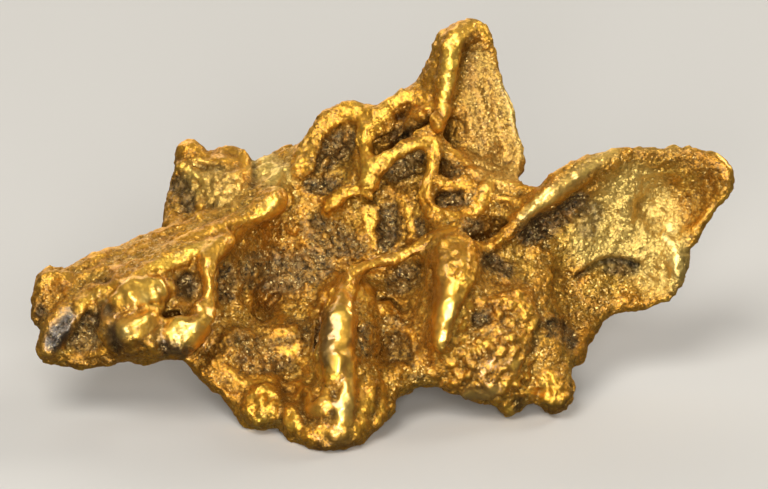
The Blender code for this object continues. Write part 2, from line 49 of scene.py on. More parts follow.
# The photograph's frame. The nugget leans back by LEAN and the camera looks straight at its broad face, with
# PIXEL mm of it to a pixel, so a pixel names a place on the face: where the camera's ray meets the gold. The
# front foot meets the floor FLOOR_OUT mm out from the foot of the face. CENTRING is where the middle of the
# nugget's length and depth was, before part.py moved it to the origin.
LEAN = math.radians(25.0)
PIXEL = 0.04
FRAME_WIDTH = 768
FRAME_HEIGHT = 489
CAMERA_DISTANCE = 250.0
NEAREST_SEEN = 10.0
AIM_UP_THE_FACE = 8.3
FLOOR_OUT = 5.0
CENTRING = np.array([0.0575, 2.1872, 0.0])
TOWARD_CAMERA = np.array([0.0, -math.cos(LEAN), math.sin(LEAN)])
UP_THE_FACE = np.array([0.0, math.sin(LEAN), math.cos(LEAN)])
FOOT_OF_THE_FACE = -CENTRING - np.array([0.0, 0.0, FLOOR_OUT * math.sin(LEAN)])
EYE = FOOT_OF_THE_FACE + UP_THE_FACE * AIM_UP_THE_FACE + TOWARD_CAMERA * CAMERA_DISTANCE
FOCAL_PIXELS = CAMERA_DISTANCE / PIXEL

# The mesh: a skin for the carving, a finer one for the grain, and the most triangles that are kept of it.
CARVING_VOXEL = 0.12
GRAIN_VOXEL = 0.078
MOST_TRIANGLES = 197000
KEPT_AT_FIRST = 0.59
BACK_SHARE = 0.5
KEEP_STEPS = 10

# Rounds of averaging over neighbours. The first four reach the surroundings that a place is measured against,
# as wide as a roll, a lump, a bead or a crumb. The others wear down the back, smooth a skin, or soften the
# edge of a zone.
ROUND_A_ROLL = 120
ROUND_A_LUMP = 60
ROUND_A_BEAD = 25
ROUND_A_CRUMB = 5
BACK_WEAR_ROUNDS = 90
BACK_EDGE_ROUNDS = 12
WIDE_EDGE_ROUNDS = 6
EDGE_ROUNDS = 4
SKIN_ROUNDS = 4
FINE_ROUNDS = 3

# How squarely a place faces the camera, from -1 to 1, where it begins to count as seen, as the front that the
# zones colour, as fine mesh or as the back, and where it fully does. The front's own grain begins abruptly.
SEEN = (0.05, 0.4)
COLOURED_FRONT = (-0.1, 0.2)
FINE_MESH = (-0.45, -0.05)
BEHIND = (-0.15, -0.55)
GRAINED_FRONT = 0.1

# How far a stroke stands out or sinks in, as a share of its radius. Strokes with a radius of at least
# BROAD_RADIUS carry the others. All waver by WAVER pixels, and the raised ones by UNEVENNESS of their height.
# The curve of a stroke is followed in steps of STEP_ALONG pixels.
RAISE = 0.5
SINK = 0.45
BROAD_RADIUS = 9
WAVER = 2.0
UNEVENNESS = 0.4
STEP_ALONG = 2.0

# The cross-sections of strokes: how many times its radius a stroke reaches, and how steeply it falls off.
ROLL = (1.3, 1.1)
FILLING = (1.3, 0.9)
GROOVE = (1.2, 1.3)
ROUGH_RIDGE = (1.2, 0.8)
BRIGHT_RIDGE = (1.0, 0.7)

# A zone is full out to ZONE_CORE of its stroke's radius and ends at ZONE_EDGE of it. Only the tarnish wavers,
# by SLATE_WAVER pixels.
ZONE_CORE = 0.7
ZONE_EDGE = 1.3
SLATE_WAVER = 5.0

# Before the strokes, the solid's own tubes and pits are levelled a little, and more in the SHALLOW places.
LEVELLING_ROUNDS = 3
FILL = 0.3
FILL_IN_SHALLOWS = 0.6
TRIM = 0.15
TRIM_IN_SHALLOWS = 0.6

# The side away from the camera is worn smooth by this share, before it gets lumps of its own.
BACK_WEAR = 0.85

# Natural unevenness: for each kind, the size of one lump in mm, where its pattern starts, its height in mm.
# The last five have a height of 1, because they are scaled where they are used.
GRAIN = {
    "crumb": (0.6, 3.1, 0.06),
    "bubble": (0.34, 6.3, 0.15),
    "break": (0.45, 9.4, 0.08),
    "ripple": (0.25, 7.7, 0.035),
    "rock": (0.55, 15.0, 0.12),
    "pebble": (0.3, 19.0, 0.10),
    "ridge_swell": (0.4, 23.0, 0.06),
    "sleek_swell": (0.65, 29.0, 0.055),
    "wide_swell": (1.0, 5.0, 0.06),
    "back_swell": (3.0, 41.0, 0.30),
    "back_crumb": (1.3, 43.0, 0.16),
    "back_ripple": (0.5, 47.0, 0.05),
    "stroke_swell": (0.7, 11.0, 1.0),
    "waver_across": (0.8, 21.0, 1.0),
    "waver_up": (0.8, 27.0, 1.0),
    "slate_across": (0.5, 31.0, 1.0),
    "slate_up": (0.5, 37.0, 1.0),
}

# The shapes of the grain: a dome's radius in lumps, the share of its height by which its seams are sunk, how
# much a broken face tilts, and how many octaves a swell has and how each follows the one before.
DOME_RADIUS = 0.75
FACE_TILT = 2
FACE_SEED = 7.3
OCTAVES = 3
FEW_OCTAVES = 2
OCTAVE_FADE = 1.0
OCTAVE_STEP = 2.0
SUNK_SEAMS = {"crumb": 0.6, "bubble": 0.5, "pebble": 0.6, "back_crumb": 0.5}

# What share of each grain, or of the patina, is lost where the gold is sleek, on its ridges, and where it is
# calm or bubbly.
LOST_WHERE_SLEEK = {"loose": 0.92, "bubble": 0.8, "ripple": 0.8, "ridge_swell": 0.9, "wide_swell": 0.5}
LOST_ON_RIDGES = {"loose": 0.5, "ripple": 0.25, "rock": 0.6, "patina": 0.7}
LOST_WHERE_CALM = 0.65
LOST_WHERE_BUBBLY = 0.7

# How far a place stands out of its surroundings, in mm, where each of these begins and is full. It is worn to
# bright metal from 0 to WORN_IN_FRONT, or on the back to WORN_BEHIND.
ROUGH_PROUD = (0.02, 0.12)
SLEEK_PROUD = (-0.06, 0.03)
HOLLOW = (0.0, -0.12)
NICK = (0.0, -0.035)
NICK_SHARE = 0.8
WORN_IN_FRONT = 0.12
WORN_BEHIND = 0.05

# The height of a stroke, in pixels, at which its place counts as a ridge: for the grain, and for the colour.
ROUGH_HEIGHT = (0.5, 3.0)
BRIGHT_HEIGHT = (1.5, 4.5)

# The share of directions that gold blocks is also painted into the colour as shade.
# How near gold has to be, in mm, to close a place in, how many directions are tried from each place, and the
# share of them that is blocked where a ridge isn't bright, and where it is. Rays start this many mm above the
# surface. They are turned from the x axis, or from the y axis where the normal has over MOST_ALONG_X of x.
CLOSE_REACH = 2.5
CLOSE_RAYS = 10
OPEN_SHADE = (0.6, 0.2)
CLOSE_LIFT = 0.05
SIGHT_LIFT = 0.15
MOST_ALONG_X = 0.9

# What the mesh tells the material of each place, and the rounds of averaging that soften it.
ZONE_ROUNDS = {
    "ridge": 1,
    "sleek": 2,
    "crease": 1,
    "shade": 1,
    "patina": 3,
    "slate": 2,
    "pale": 4,
    "amber": 4,
    "browned": 4,
    "grime": 1,
}

# The gold's colours: bare, stained brown (also painted shade), worn bright, pale (also painted highlights),
# the orange of a painted reflection on the flanks of ridges, and amber. Then the deep brown of painted shade
# and of its seams, its crust, the grey of a painted dark reflection and shade, its specks and its painted
# glints.
BASE_A = (0.70, 0.355, 0.05, 1)
BASE_B = (0.76, 0.475, 0.08, 1)
BROWN = (0.34, 0.155, 0.03, 1)
BRIGHT_A = (0.95, 0.49, 0.05, 1)
BRIGHT_B = (0.98, 0.61, 0.08, 1)
PALE_GOLD_AND_HIGHLIGHT = (0.90, 0.67, 0.20, 1)
ORANGE = (0.64, 0.27, 0.025, 1)
AMBER = (0.86, 0.42, 0.035, 1)
DEEP_BROWN = (0.14, 0.055, 0.012, 1)
PATINA_GREY = (0.16, 0.125, 0.066, 1)
PATINA_BROWN = (0.24, 0.145, 0.048, 1)
SLATE_GREY = (0.085, 0.07, 0.055, 1)
SPECK = (0.04, 0.032, 0.02, 1)
GLINT = (0.95, 0.72, 0.28, 1)

# The clouds in the material: the size of a lump in mm, and its detail. One of them bends the edges of the
# crystals, by up to BENDING mm.
CLOUDS = {"hue": (1.9, 3), "mottle": (0.45, 4), "specks": (0.17, 3), "bending": (0.3, 3)}
BENDING = 0.24

# The finest grain: crystal faces of two sizes in mm, their slopes, the depth in mm of their seams, and how
# much of all this is gone where the gold is sleek and on its ridges.
SMALL_CRYSTAL = 0.065
LARGE_CRYSTAL = 0.13
SMALL_SLOPE = 0.5
LARGE_SLOPE = 0.35
SEAM_DEPTH = 0.02
BUMP_LOST = {"sleek": 0.88, "ridge": 0.35}

# Where in a pattern each effect begins and is full and, where it isn't 0 to 1, what it goes from and to.
RANGES = {
    "hue": (0.35, 0.65),
    "brown_mottle": (0.35, 0.7, 0.0, 0.45),
    "dull_mottle": (0.5, 0.68, 0.0, 0.6),
    "amber_mottle": (0.35, 0.65, 1.0, 0.5),
    # The next two shape the painted shade: its mottle, and how closed in a place must be.
    "shade_and_grime_mottle": (0.35, 0.62, 1.0, 0.45),
    "closed_in": (0.2, 0.8, 0.0, 0.85),
    "crust": (0.9, 1.9, 0.0, 0.9),
    "crust_hue": (0.4, 0.6),
    "seams": (0.45, 0.85),
    "specks": (0.54, 0.62),
    "glints": (0.84, 0.92),
    "metallic": (0.0, 1.0, 1.0, 0.8),
    "seam_height": (0.0, 1.0, SEAM_DEPTH * MM, 0.0),
}

# How strongly each of these covers what is under it.
STRENGTH = {"flanks": 2.4, "pale": 0.85, "browned": 0.75, "creases": 0.7, "seams": 0.45, "glints": 0.4}

# How much single crystals break up the crust, how free of dirt pale and painted-highlight places and ridges
# are, and the share of specks, with what patina adds to it.
CRYSTALS_IN_CRUST = 0.35
PALE_AND_HIGHLIGHT_ARE_CLEAN = 0.6
RIDGE_IS_CLEAN = 0.7
SPECKS = 0.35
SPECKS_IN_PATINA = 0.45

# Gloss, from worn metal to crust. Sleek places have a thin clear coat, and places of painted dark reflection
# and shade, and amber ones, lose a share of it.
ROUGHNESS = {"flat": 0.54, "ridge": 0.46, "sleek": 0.4, "slate": 0.42, "crust": 0.55, "glint": 0.4}
COAT = {"sleek": 0.5, "ridge": 0.08, "least": 0.02}
COAT_LOST = {"slate": 0.7, "amber": 0.5}
COAT_ROUGHNESS = {"dull": 0.3, "sleek": 0.2}
COAT_INDEX = 2.2

# The studio: each light's place and size in mm, its power in watts and its colour.
FLOOR_SHADE = 0.64
FLOOR_ROUGHNESS = 0.8
FLOOR_HALF = 1500.0
WORLD = (0.10, 0.095, 0.085, 1)
WARM = (1.0, 0.95, 0.86)
WHITE = (1.0, 0.97, 0.92)
LIT_PLACE = (0, 0, 6)
LIGHTS = {
    "key": ((-70, -110, 210), 150, 0.36, WARM),
    "spark": ((-20, -212, 84), 40, 0.11, WHITE),
    "front": ((40, -220, 110), 110, 0.23, WARM),
    "low": ((-30, -200, 10), 42, 0.08, WHITE),
    "rim": ((150, 90, 120), 100, 0.16, WARM),
    "back": ((-70, 200, 100), 190, 0.2, WARM),
}

# The strokes, which say what the photograph shows and where. Each is a share and then its stops, which are
# (x, y, radius) in the photograph's pixels, with a smooth curve through them. The share scales how far the
# stroke stands out or sinks in, or how strongly it marks its zone.


def beads(name, share, *places):
    """One round stroke for each place."""
    return {f"{name}_{i}": (share, place) for i, place in enumerate(places)}


# What stands out of the face: rolls, ribs, bars, lumps and beads.
RAISED = {
    # The spike.
    "spike_cap": (0.8, (445, 28, 5), (438, 40, 6), (434, 54, 5)),
    "spike_rim": (0.8, (491, 36, 4), (497, 50, 4), (498, 62, 3), (501, 76, 4), (507, 88, 5), (512, 102, 4),
        (515, 116, 4), (518, 130, 3), (520, 146, 4), (523, 160, 4), (523, 172, 4)),
    "spike_side": (0.5, (430, 70, 8), (425, 84, 7)),
    "spike_roll": (0.65, (488, 42, 6), (483, 29, 8), (471, 24, 10), (459, 34, 11), (453, 48, 11),
        (450, 62, 11), (449, 76, 10), (446, 88, 9), (443, 98, 8), (443, 106, 7), (447, 115, 6), (441, 125, 6),
        (432, 132, 5)),
    "spike_fold_a": (0.9, (471, 62, 3), (477, 84, 4), (482, 110, 4), (486, 140, 4), (490, 164, 3)),
    "spike_fold_b": (0.8, (485, 70, 4), (493, 98, 4), (500, 128, 5), (506, 158, 4)),
    "spike_fold_c": (0.9, (468, 110, 4), (470, 124, 4), (474, 138, 4)),
    # The crest: a net of ridges round cells.
    "divider_bulge": (0.6, (370, 180, 8), (366, 190, 7)),
    "divider_band": (0.7, (366, 108, 12), (367, 126, 13), (369, 144, 13), (367, 160, 12), (366, 178, 10)),
    "cell2_band": (0.9, (381, 124, 8), (386, 108, 10), (399, 97, 10), (417, 98, 9), (430, 106, 8)),
    "cell2_rim": (0.9, (385, 131, 4), (386, 119, 5), (390, 108, 5), (396, 99, 5), (406, 95, 6), (416, 96, 5),
        (425, 100, 4), (433, 106, 4)),
    "cell2_low": (1, (437, 142, 6), (424, 142, 8), (411, 148, 8), (399, 154, 8), (388, 160, 8),
        (376, 166, 7)),
    "cell1_outer": (0.5, (298, 160, 5), (300, 147, 6), (309, 134, 6), (320, 121, 6), (332, 110, 6),
        (345, 102, 6), (358, 101, 6)),
    "cell1_rim": (1, (305, 172, 4), (307, 158, 5), (314, 142, 5), (324, 131, 5), (336, 122, 5),
        (350, 118, 5)),
    "cell1_inner": (0.9, (361, 142, 3), (358, 156, 3), (356, 166, 3), (351, 178, 4)),
    "cell1_shelf": (0.7, (352, 134, 3), (346, 146, 3), (345, 158, 3)),
    "arch": (1, (327, 212, 7), (331, 202, 7), (340, 195, 8), (350, 191, 8), (360, 194, 7), (368, 201, 6)),
    "arch_left": (0.8, (296, 186, 4), (306, 193, 4), (316, 199, 5), (324, 199, 4)),
    "bar3": (1.1, (436, 148, 5), (432, 160, 5), (428, 174, 6), (424, 188, 7), (421, 198, 6)),
    "bar3_strand": (0.8, (439, 160, 2), (434, 176, 3), (433, 190, 3), (437, 200, 3)),
    "bar4": (1, (448, 146, 4), (458, 154, 4.5), (468, 164, 4.5), (476, 175, 5)),
    "bar5": (0.9, (438, 182, 5), (450, 184, 5), (460, 185, 6), (472, 184, 6)),
    "bar6": (1.2, (488, 181, 6), (485, 192, 8), (481, 203, 8), (477, 210, 6)),
    "bar7": (1.2, (434, 208, 5), (446, 213, 5), (456, 215, 5), (468, 212, 4), (480, 213, 4)),
    "bar8": (0.9, (443, 193, 5), (450, 188, 3)),
    "bar9": (1.3, (491, 182, 4), (503, 182, 4), (515, 184, 4), (527, 187, 4), (536, 190, 3)),
    "bar10": (1.3, (494, 197, 3), (506, 199, 4), (518, 202, 4), (526, 206, 3)),
    "bar11": (0.8, (427, 212, 4), (436, 220, 4), (446, 228, 5), (455, 226, 5), (465, 226, 4)),
    "bar12": (0.8, (452, 200, 2), (450, 207, 2)),
    "rib6": (0.9, (404, 198, 5), (408, 212, 5), (411, 226, 5), (413, 240, 4)),
    "rib7": (0.9, (369, 204, 7), (370, 218, 8), (371, 232, 7), (374, 246, 5)),
    "rib8": (0.8, (386, 184, 4), (396, 192, 4), (408, 197, 4), (418, 200, 3)),
    "cell1_band": (0.7, (297, 168, 7), (301, 150, 8), (311, 133, 9), (327, 118, 10), (344, 108, 10),
        (360, 107, 11)),
    # The basin below the crest.
    "basin_flake": (0.9, (309, 247, 3), (318, 249, 4), (325, 253, 3)),
    "basin_ledge_a": (0.7, (248, 262, 3), (266, 258, 4), (286, 256, 4), (300, 255, 3), (314, 258, 3),
        (332, 258, 3)),
    "basin_ledge_b": (0.7, (256, 291, 4), (270, 292, 4), (284, 294, 4), (300, 291, 4), (312, 286, 4)),
    "basin_ledge_c": (0.6, (246, 276, 4), (258, 280, 4), (272, 276, 4), (286, 279, 4)),
    "basin_ledge_d": (0.6, (330, 268, 4), (318, 274, 4), (305, 273, 4), (296, 268, 3)),
    "basin_rib_a": (0.7, (300, 206, 4), (304, 218, 5), (308, 230, 5), (306, 242, 4)),
    "basin_rib_b": (0.6, (336, 216, 4), (334, 228, 5), (338, 240, 4), (346, 250, 4)),
    "basin_rib_c": (0.6, (286, 220, 4), (290, 234, 4), (288, 248, 4)),
    "basin_rib_d": (0.6, (352, 212, 4), (358, 226, 4), (356, 240, 4)),
    "basin_left_a": (0.7, (238, 272, 4), (240, 284, 4), (236, 296, 4)),
    "basin_left_b": (0.7, (226, 300, 4), (232, 312, 4), (228, 324, 4)),
    # The tower at the upper left.
    "tower_top_left": (1.3, (176, 152, 6), (181, 145, 7), (190, 143, 7), (198, 149, 6)),
    "tower_saddle": (1.2, (200, 153, 4), (209, 156, 4), (218, 158, 5)),
    "tower_top_right": (1.2, (220, 153, 5), (229, 149, 6), (239, 152, 6), (245, 160, 6), (247, 172, 6)),
    "tower_shelf": (1.2, (176, 164, 5), (186, 168, 5), (196, 176, 5), (204, 182, 5)),
    "tower_side": (1.4, (240, 174, 7), (238, 186, 5)),
    "tower_base": (0.7, (166, 206, 5), (172, 214, 5), (182, 218, 5)),
    "tower_pale_a": (1.1, (266, 166, 11), (274, 176, 11)),
    "tower_pale_b": (0.9, (284, 170, 7)),
    "tower_ledge": (1.2, (194, 158, 4), (205, 160, 5), (216, 161, 5), (227, 159, 5), (236, 161, 4)),
    "tower_branch_a": (1.3, (199, 216, 5), (200, 206, 5), (206, 198, 4), (216, 193, 4), (227, 190, 4)),
    "tower_branch_b": (1.1, (204, 186, 4), (212, 193, 4), (222, 200, 4)),
    "tower_branch_c": (1.1, (232, 196, 4), (236, 206, 4), (230, 214, 4)),
    "tower_crumb": (1.2, (176, 170, 6)),
    **beads("tower_crumb", 1.1, (216, 178, 5), (228, 174, 5), (168, 194, 5)),
    # The arm at the left, with its loop, its lobe and its end.
    "arm_mid": (1, (190, 254, 10), (170, 262, 9), (150, 270, 8), (132, 279, 7), (114, 287, 7), (98, 293, 6),
        (86, 301, 6)),
    "arm_loop_foot": (0.8, (197, 324, 7)),
    "arm_lobe_ball": (0.7, (165, 292, 9)),
    "arm_lower_bead_b": (0.9, (148, 322, 7)),
    "arm_lower_bead_a": (1, (125, 331, 6)),
    "arm_lower_bridge": (1, (152, 312, 10), (168, 313, 11), (184, 312, 10)),
    "arm_lower_right": (1.3, (176, 331, 13), (190, 336, 15), (201, 328, 12)),
    "arm_lower_left": (1.2, (126, 330, 13), (138, 325, 14), (148, 322, 11)),
    "arm_boss": (0.8, (285, 198, 8), (276, 203, 11), (266, 209, 10), (258, 215, 8)),
    "arm_boss_low": (0.8, (262, 222, 4), (268, 228, 4)),
    "arm_roll_top": (0.8, (256, 217, 5), (245, 220, 6), (233, 222, 6), (220, 227, 6), (207, 232, 6),
        (194, 235, 5), (180, 238, 5), (166, 246, 4)),
    "arm_roll_mid": (0.6, (243, 229, 6), (230, 238, 8), (216, 244, 9), (200, 248, 10), (184, 256, 10),
        (168, 264, 9), (152, 268, 8), (136, 274, 7)),
    "arm_loop": (1.2, (226, 240, 8), (216, 250, 9), (210, 264, 8), (210, 280, 7), (211, 296, 8),
        (207, 312, 10)),
    "arm_loop_inner": (0.6, (192, 252, 10), (186, 262, 8), (174, 268, 6)),
    "arm_lobe": (1.5, (163, 291, 13), (150, 291, 14), (134, 293, 14), (119, 297, 11)),
    "arm_lobe_low_e": (0.9, (189, 325, 5), (196, 328, 5)),
    "arm_lobe_low_g": (0.7, (196, 317, 4), (194, 310, 4)),
    "arm_lobe_low_h": (0.7, (133, 347, 8), (126, 354, 6)),
    "arm_lobe_low_i": (0.7, (152, 347, 7), (158, 354, 5)),
    "arm_lobe_low_j": (0.7, (172, 352, 6), (184, 358, 6), (192, 364, 5)),
    "arm_crumb_a": (0.9, (166, 264, 4)),
    "arm_crumb_b": (0.8, (158, 270, 5), (166, 276, 4)),
    "arm_crumb_c": (0.8, (112, 296, 4), (110, 284, 4), (118, 274, 4)),
    "arm_end_top": (0.6, (40, 284, 9), (52, 277, 10), (66, 275, 9)),
    "arm_end_ridge": (0.9, (66, 294, 4), (68, 286, 4), (76, 278, 4), (86, 272, 4), (97, 268, 4),
        (108, 268, 4), (118, 264, 5)),
    "arm_end_ridge_low": (0.8, (80, 302, 5), (84, 294, 5), (94, 290, 5), (104, 287, 5), (114, 288, 5)),
    "arm_bump": (0.6, (94, 256, 8), (103, 255, 7)),
    "arm_top_a": (0.8, (128, 252, 5), (138, 248, 5), (148, 244, 5)),
    "arm_top_b": (0.7, (134, 262, 4), (146, 258, 4), (158, 254, 4), (170, 250, 4)),
    "arm_top_c": (0.7, (156, 232, 5), (166, 226, 5), (176, 222, 5), (190, 222, 4)),
    "arm_facet_bead": (0.9, (84, 302, 5), (79, 310, 5), (74, 322, 3.5), (68, 336, 3), (62, 350, 3)),
    "arm_triangle_rim": (0.8, (64, 356, 4), (78, 355, 4), (93, 354, 5), (106, 351, 5), (111, 344, 4),
        (100, 334, 4), (95, 326, 4)),
    "arm_triangle_low": (0.6, (70, 363, 4), (86, 367, 5), (100, 365, 5), (112, 360, 4), (124, 359, 3)),
    "arm_ring": (0.9, (36, 300, 3), (32, 310, 3), (34, 320, 3), (40, 325, 3), (47, 322, 3), (50, 312, 3)),
    "arm_ring_low": (0.7, (40, 332, 4), (42, 346, 4), (46, 356, 4), (58, 359, 4)),
    "arm_end_bead": (1, (44, 298, 3)),
    "arm_seam": (0.7, (164, 313, 5), (180, 314, 5)),
    # The left column.
    "left_column_ridge": (0.8, (455, 229, 5), (443, 232, 6), (430, 238, 5), (418, 245, 6), (406, 253, 7),
        (394, 258, 6), (381, 261, 6), (368, 266, 6), (357, 272, 6), (349, 280, 5), (343, 290, 5),
        (341, 302, 5), (341, 312, 6)),
    "left_column_shaft": (0.9, (334, 304, 16), (331, 326, 19), (329, 350, 18), (330, 370, 14)),
    "left_column_strand": (1.2, (347, 306, 7), (346, 324, 8), (344, 340, 8), (350, 356, 7), (352, 372, 7),
        (349, 390, 8), (345, 406, 10), (343, 420, 10)),
    "left_column_fork": (0.8, (336, 308, 5), (332, 298, 5), (334, 287, 5), (339, 277, 4)),
    "left_column_boss": (0.5, (360, 292, 11), (370, 294, 11)),
    "left_column_bead_c": (0.9, (395, 298, 7), (402, 302, 6)),
    "left_column_bead_d": (0.9, (382, 308, 5), (383, 314, 4)),
    "left_column_bead_h": (1, (371, 330, 3), (371, 342, 4)),
    **beads("left_column_large_bead", 0.9, (339, 359, 6), (352, 375, 6)),
    **beads("left_column_small_bead", 1, (381, 272, 5), (372, 273, 4), (362, 359, 4)),
    # The front foot and its flutes.
    "foot_right": (0.8, (372, 392, 8), (370, 408, 8)),
    "foot_lip": (0.6, (322, 436, 8), (340, 440, 8), (356, 432, 7)),
    "foot_ring": (1.8, (318, 403, 15)),
    "foot_boss": (1, (322, 430, 8), (334, 438, 9), (348, 436, 9), (359, 426, 8)),
    "foot_low": (0.5, (304, 432, 8), (316, 442, 8), (332, 445, 8), (348, 440, 7)),
    "flute_a": (0.9, (360, 384, 5), (362, 398, 5), (361, 412, 5), (366, 424, 5)),
    "flute_b": (0.8, (372, 380, 5), (374, 396, 4), (371, 410, 4)),
    "flute_c": (0.9, (383, 384, 5), (384, 398, 5), (381, 410, 6), (378, 421, 5)),
    "flute_d": (0.8, (396, 372, 4), (399, 384, 4), (395, 396, 4), (396, 410, 3)),
    # The skirt left of the foot.
    "skirt_knob": (1.7, (263, 405, 19)),
    "skirt_knob_top": (0.8, (270, 384, 10)),
    "skirt_column_a": (1.5, (291, 412, 7), (294, 424, 9)),
    "skirt_column_b": (0.7, (300, 384, 6), (299, 398, 6)),
    "skirt_roll": (0.9, (212, 361, 4), (221, 367, 5), (231, 371, 5), (240, 382, 5), (250, 382, 6),
        (262, 379, 6), (273, 382, 5)),
    "skirt_low": (0.7, (206, 377, 4), (218, 386, 4), (228, 393, 4), (240, 396, 5)),
    "skirt_bead": (1, (237, 412, 3)),
    "skirt_lump_a": (0.8, (276, 312, 5), (282, 317, 5)),
    "skirt_lump_b": (0.8, (272, 335, 4), (282, 332, 6), (294, 330, 6)),
    "skirt_lump_c": (0.8, (281, 350, 7), (292, 352, 7), (300, 343, 6)),
    "skirt_lump_d": (0.7, (303, 362, 6), (308, 374, 5)),
    "skirt_lump_e": (0.7, (312, 311, 6), (310, 322, 4)),
    "skirt_lump_f": (0.7, (262, 365, 5), (268, 352, 4)),
    "skirt_lump_g": (0.7, (232, 350, 5), (246, 356, 4), (254, 364, 4)),
    "skirt_lump_h": (0.7, (236, 330, 4), (246, 336, 4)),
    # The wall between the columns.
    "wall_fold_a": (0.7, (405, 330, 6), (412, 338, 6), (402, 345, 6)),
    "wall_fold_b": (0.7, (392, 356, 4), (402, 362, 4), (400, 371, 5)),
    "wall_fold_c": (0.7, (392, 326, 4), (388, 340, 4)),
    "wall_fold_d": (0.7, (416, 352, 5), (418, 364, 4)),
    "wall_fold_e": (0.6, (412, 282, 4), (418, 294, 4), (414, 306, 4)),
    "wall_fold_f": (0.7, (374, 322, 4), (378, 336, 4), (376, 350, 4)),
    # The right column.
    "right_column_cap_b": (0.7, (474, 262, 6), (475, 276, 6)),
    "right_column_cap_a": (0.8, (444, 254, 8), (441, 266, 7), (446, 278, 6)),
    "right_column_ridge": (1, (466, 256, 6), (464, 270, 6), (460, 286, 7), (452, 300, 8), (446, 314, 8),
        (442, 330, 8), (438, 344, 8)),
    "right_column_left": (0.7, (455, 258, 24), (454, 276, 22), (448, 296, 16), (442, 318, 12), (439, 338, 9)),
    "right_column_right": (0.4, (470, 266, 10), (474, 284, 8)),
    # The bubbly lobe.
    "lobe_lump_a": (0.7, (508, 303, 8), (518, 303, 10)),
    "lobe_lump_b": (0.8, (518, 358, 6), (514, 367, 7)),
    "lobe_lump_c": (0.8, (490, 385, 6), (497, 393, 5)),
    "lobe_lump_d": (0.9, (472, 394, 6), (464, 394, 4)),
    "lobe_lump_e": (0.8, (462, 328, 6), (466, 320, 5)),
    "lobe_lump_f": (0.8, (508, 407, 7), (511, 414, 6)),
    "lobe_lump_g": (0.8, (450, 384, 5), (458, 388, 4)),
    **beads("lobe_bead", 1, (495, 298, 5), (520, 298, 7), (470, 306, 6), (483, 302, 6), (504, 300, 7),
        (531, 306, 6), (498, 314, 6), (511, 322, 6), (527, 314, 7), (534, 322, 6), (482, 332, 5),
        (496, 330, 6), (503, 331, 5), (528, 328, 7), (464, 340, 6), (480, 346, 8), (487, 344, 6),
        (492, 340, 6), (510, 338, 7), (524, 338, 6), (466, 356, 5), (474, 352, 6), (501, 351, 7),
        (512, 348, 6), (523, 349, 4), (452, 366, 6), (471, 366, 5), (485, 366, 6), (493, 363, 5),
        (503, 370, 6), (432, 372, 5), (458, 374, 5), (466, 376, 6), (483, 373, 5), (516, 382, 6),
        (526, 376, 5), (478, 384, 5), (506, 384, 8), (528, 392, 5), (466, 394, 5), (475, 397, 5),
        (484, 396, 5), (493, 390, 6), (496, 405, 5)),
    # The small foot and its leg.
    "small_foot_bead": (0.9, (567, 396, 4)),
    "small_foot_side": (0.8, (534, 388, 5), (532, 402, 5)),
    "small_foot_rim": (0.7, (540, 414, 5), (553, 416, 5), (566, 411, 5), (574, 403, 4)),
    "leg_a": (0.8, (560, 318, 4), (562, 330, 4), (556, 342, 4), (558, 354, 4)),
    "leg_b": (0.8, (592, 318, 3), (588, 330, 3), (582, 344, 3), (574, 358, 3)),
    "leg_c": (0.7, (543, 300, 4), (544, 314, 4), (543, 330, 5)),
    "small_foot_ball": (0.9, (550, 382, 13), (553, 396, 15)),
    # The wing at the right, its throat and its rims.
    "throat": (0.7, (470, 240, 5), (480, 245, 6), (490, 248, 6), (498, 240, 7), (503, 228, 5), (510, 219, 5),
        (520, 216, 5)),
    "wing_rim_inner": (0.8, (566, 180, 6), (578, 178, 6), (588, 170, 6), (596, 162, 5), (604, 156, 5),
        (614, 152, 5)),
    "wing_edge": (0.5, (545, 178, 5), (560, 169, 5), (576, 161, 5), (592, 154, 5), (608, 149, 5),
        (626, 147, 6), (644, 147, 6), (664, 147, 5), (684, 147, 5), (700, 147, 5), (713, 151, 5),
        (723, 158, 5), (730, 168, 5), (732, 180, 4)),
    "wing_lump_a": (0.7, (556, 178, 5), (566, 172, 4)),
    "wing_lump_b": (0.8, (630, 180, 4), (638, 177, 4), (642, 170, 3)),
    "wing_lump_c": (0.9, (648, 190, 4), (651, 200, 4), (650, 209, 4)),
    "wing_lump_d": (0.8, (641, 219, 3), (645, 227, 4), (648, 236, 4)),
    "wing_lump_e": (0.8, (624, 206, 4), (628, 200, 4), (634, 210, 4)),
    "wing_streak": (0.7, (672, 222, 5), (667, 234, 6), (670, 246, 8), (674, 258, 9), (677, 270, 8),
        (679, 280, 5)),
    "wing_tip": (0.7, (706, 160, 5), (712, 168, 4)),
    "wing_edge_low": (0.6, (728, 192, 4), (720, 204, 4), (708, 218, 4), (698, 232, 4), (690, 244, 4)),
    "wing_fan_a": (0.7, (640, 282, 3), (652, 290, 4), (664, 300, 4)),
    "wing_fan_b": (0.7, (630, 290, 3), (640, 300, 4), (650, 308, 3)),
    "wing_fan_c": (0.7, (648, 272, 3), (662, 280, 4), (674, 292, 4)),
    "wing_ledge_a": (0.8, (582, 270, 3), (592, 262, 3), (604, 255, 3), (618, 253, 3), (632, 255, 3),
        (642, 260, 3)),
    "wing_ledge_b": (0.8, (604, 276, 3), (616, 272, 3), (630, 272, 3), (640, 268, 3)),
    "wing_rib_a": (0.6, (598, 200, 4), (594, 214, 4), (600, 228, 4), (612, 240, 4)),
    "wing_rib_b": (0.6, (576, 214, 4), (574, 230, 4), (566, 244, 4), (556, 256, 3)),
    "wing_low": (0.7, (548, 250, 3), (550, 262, 3), (546, 274, 3), (540, 286, 4)),
    "wing_rim": (0.65, (521, 219, 5), (530, 211, 8), (540, 203, 11), (550, 196, 11), (560, 189, 10),
        (570, 182, 9)),
    **beads("wing_bead", 1, (660, 264, 4), (678, 178, 4), (681, 284, 3)),
}

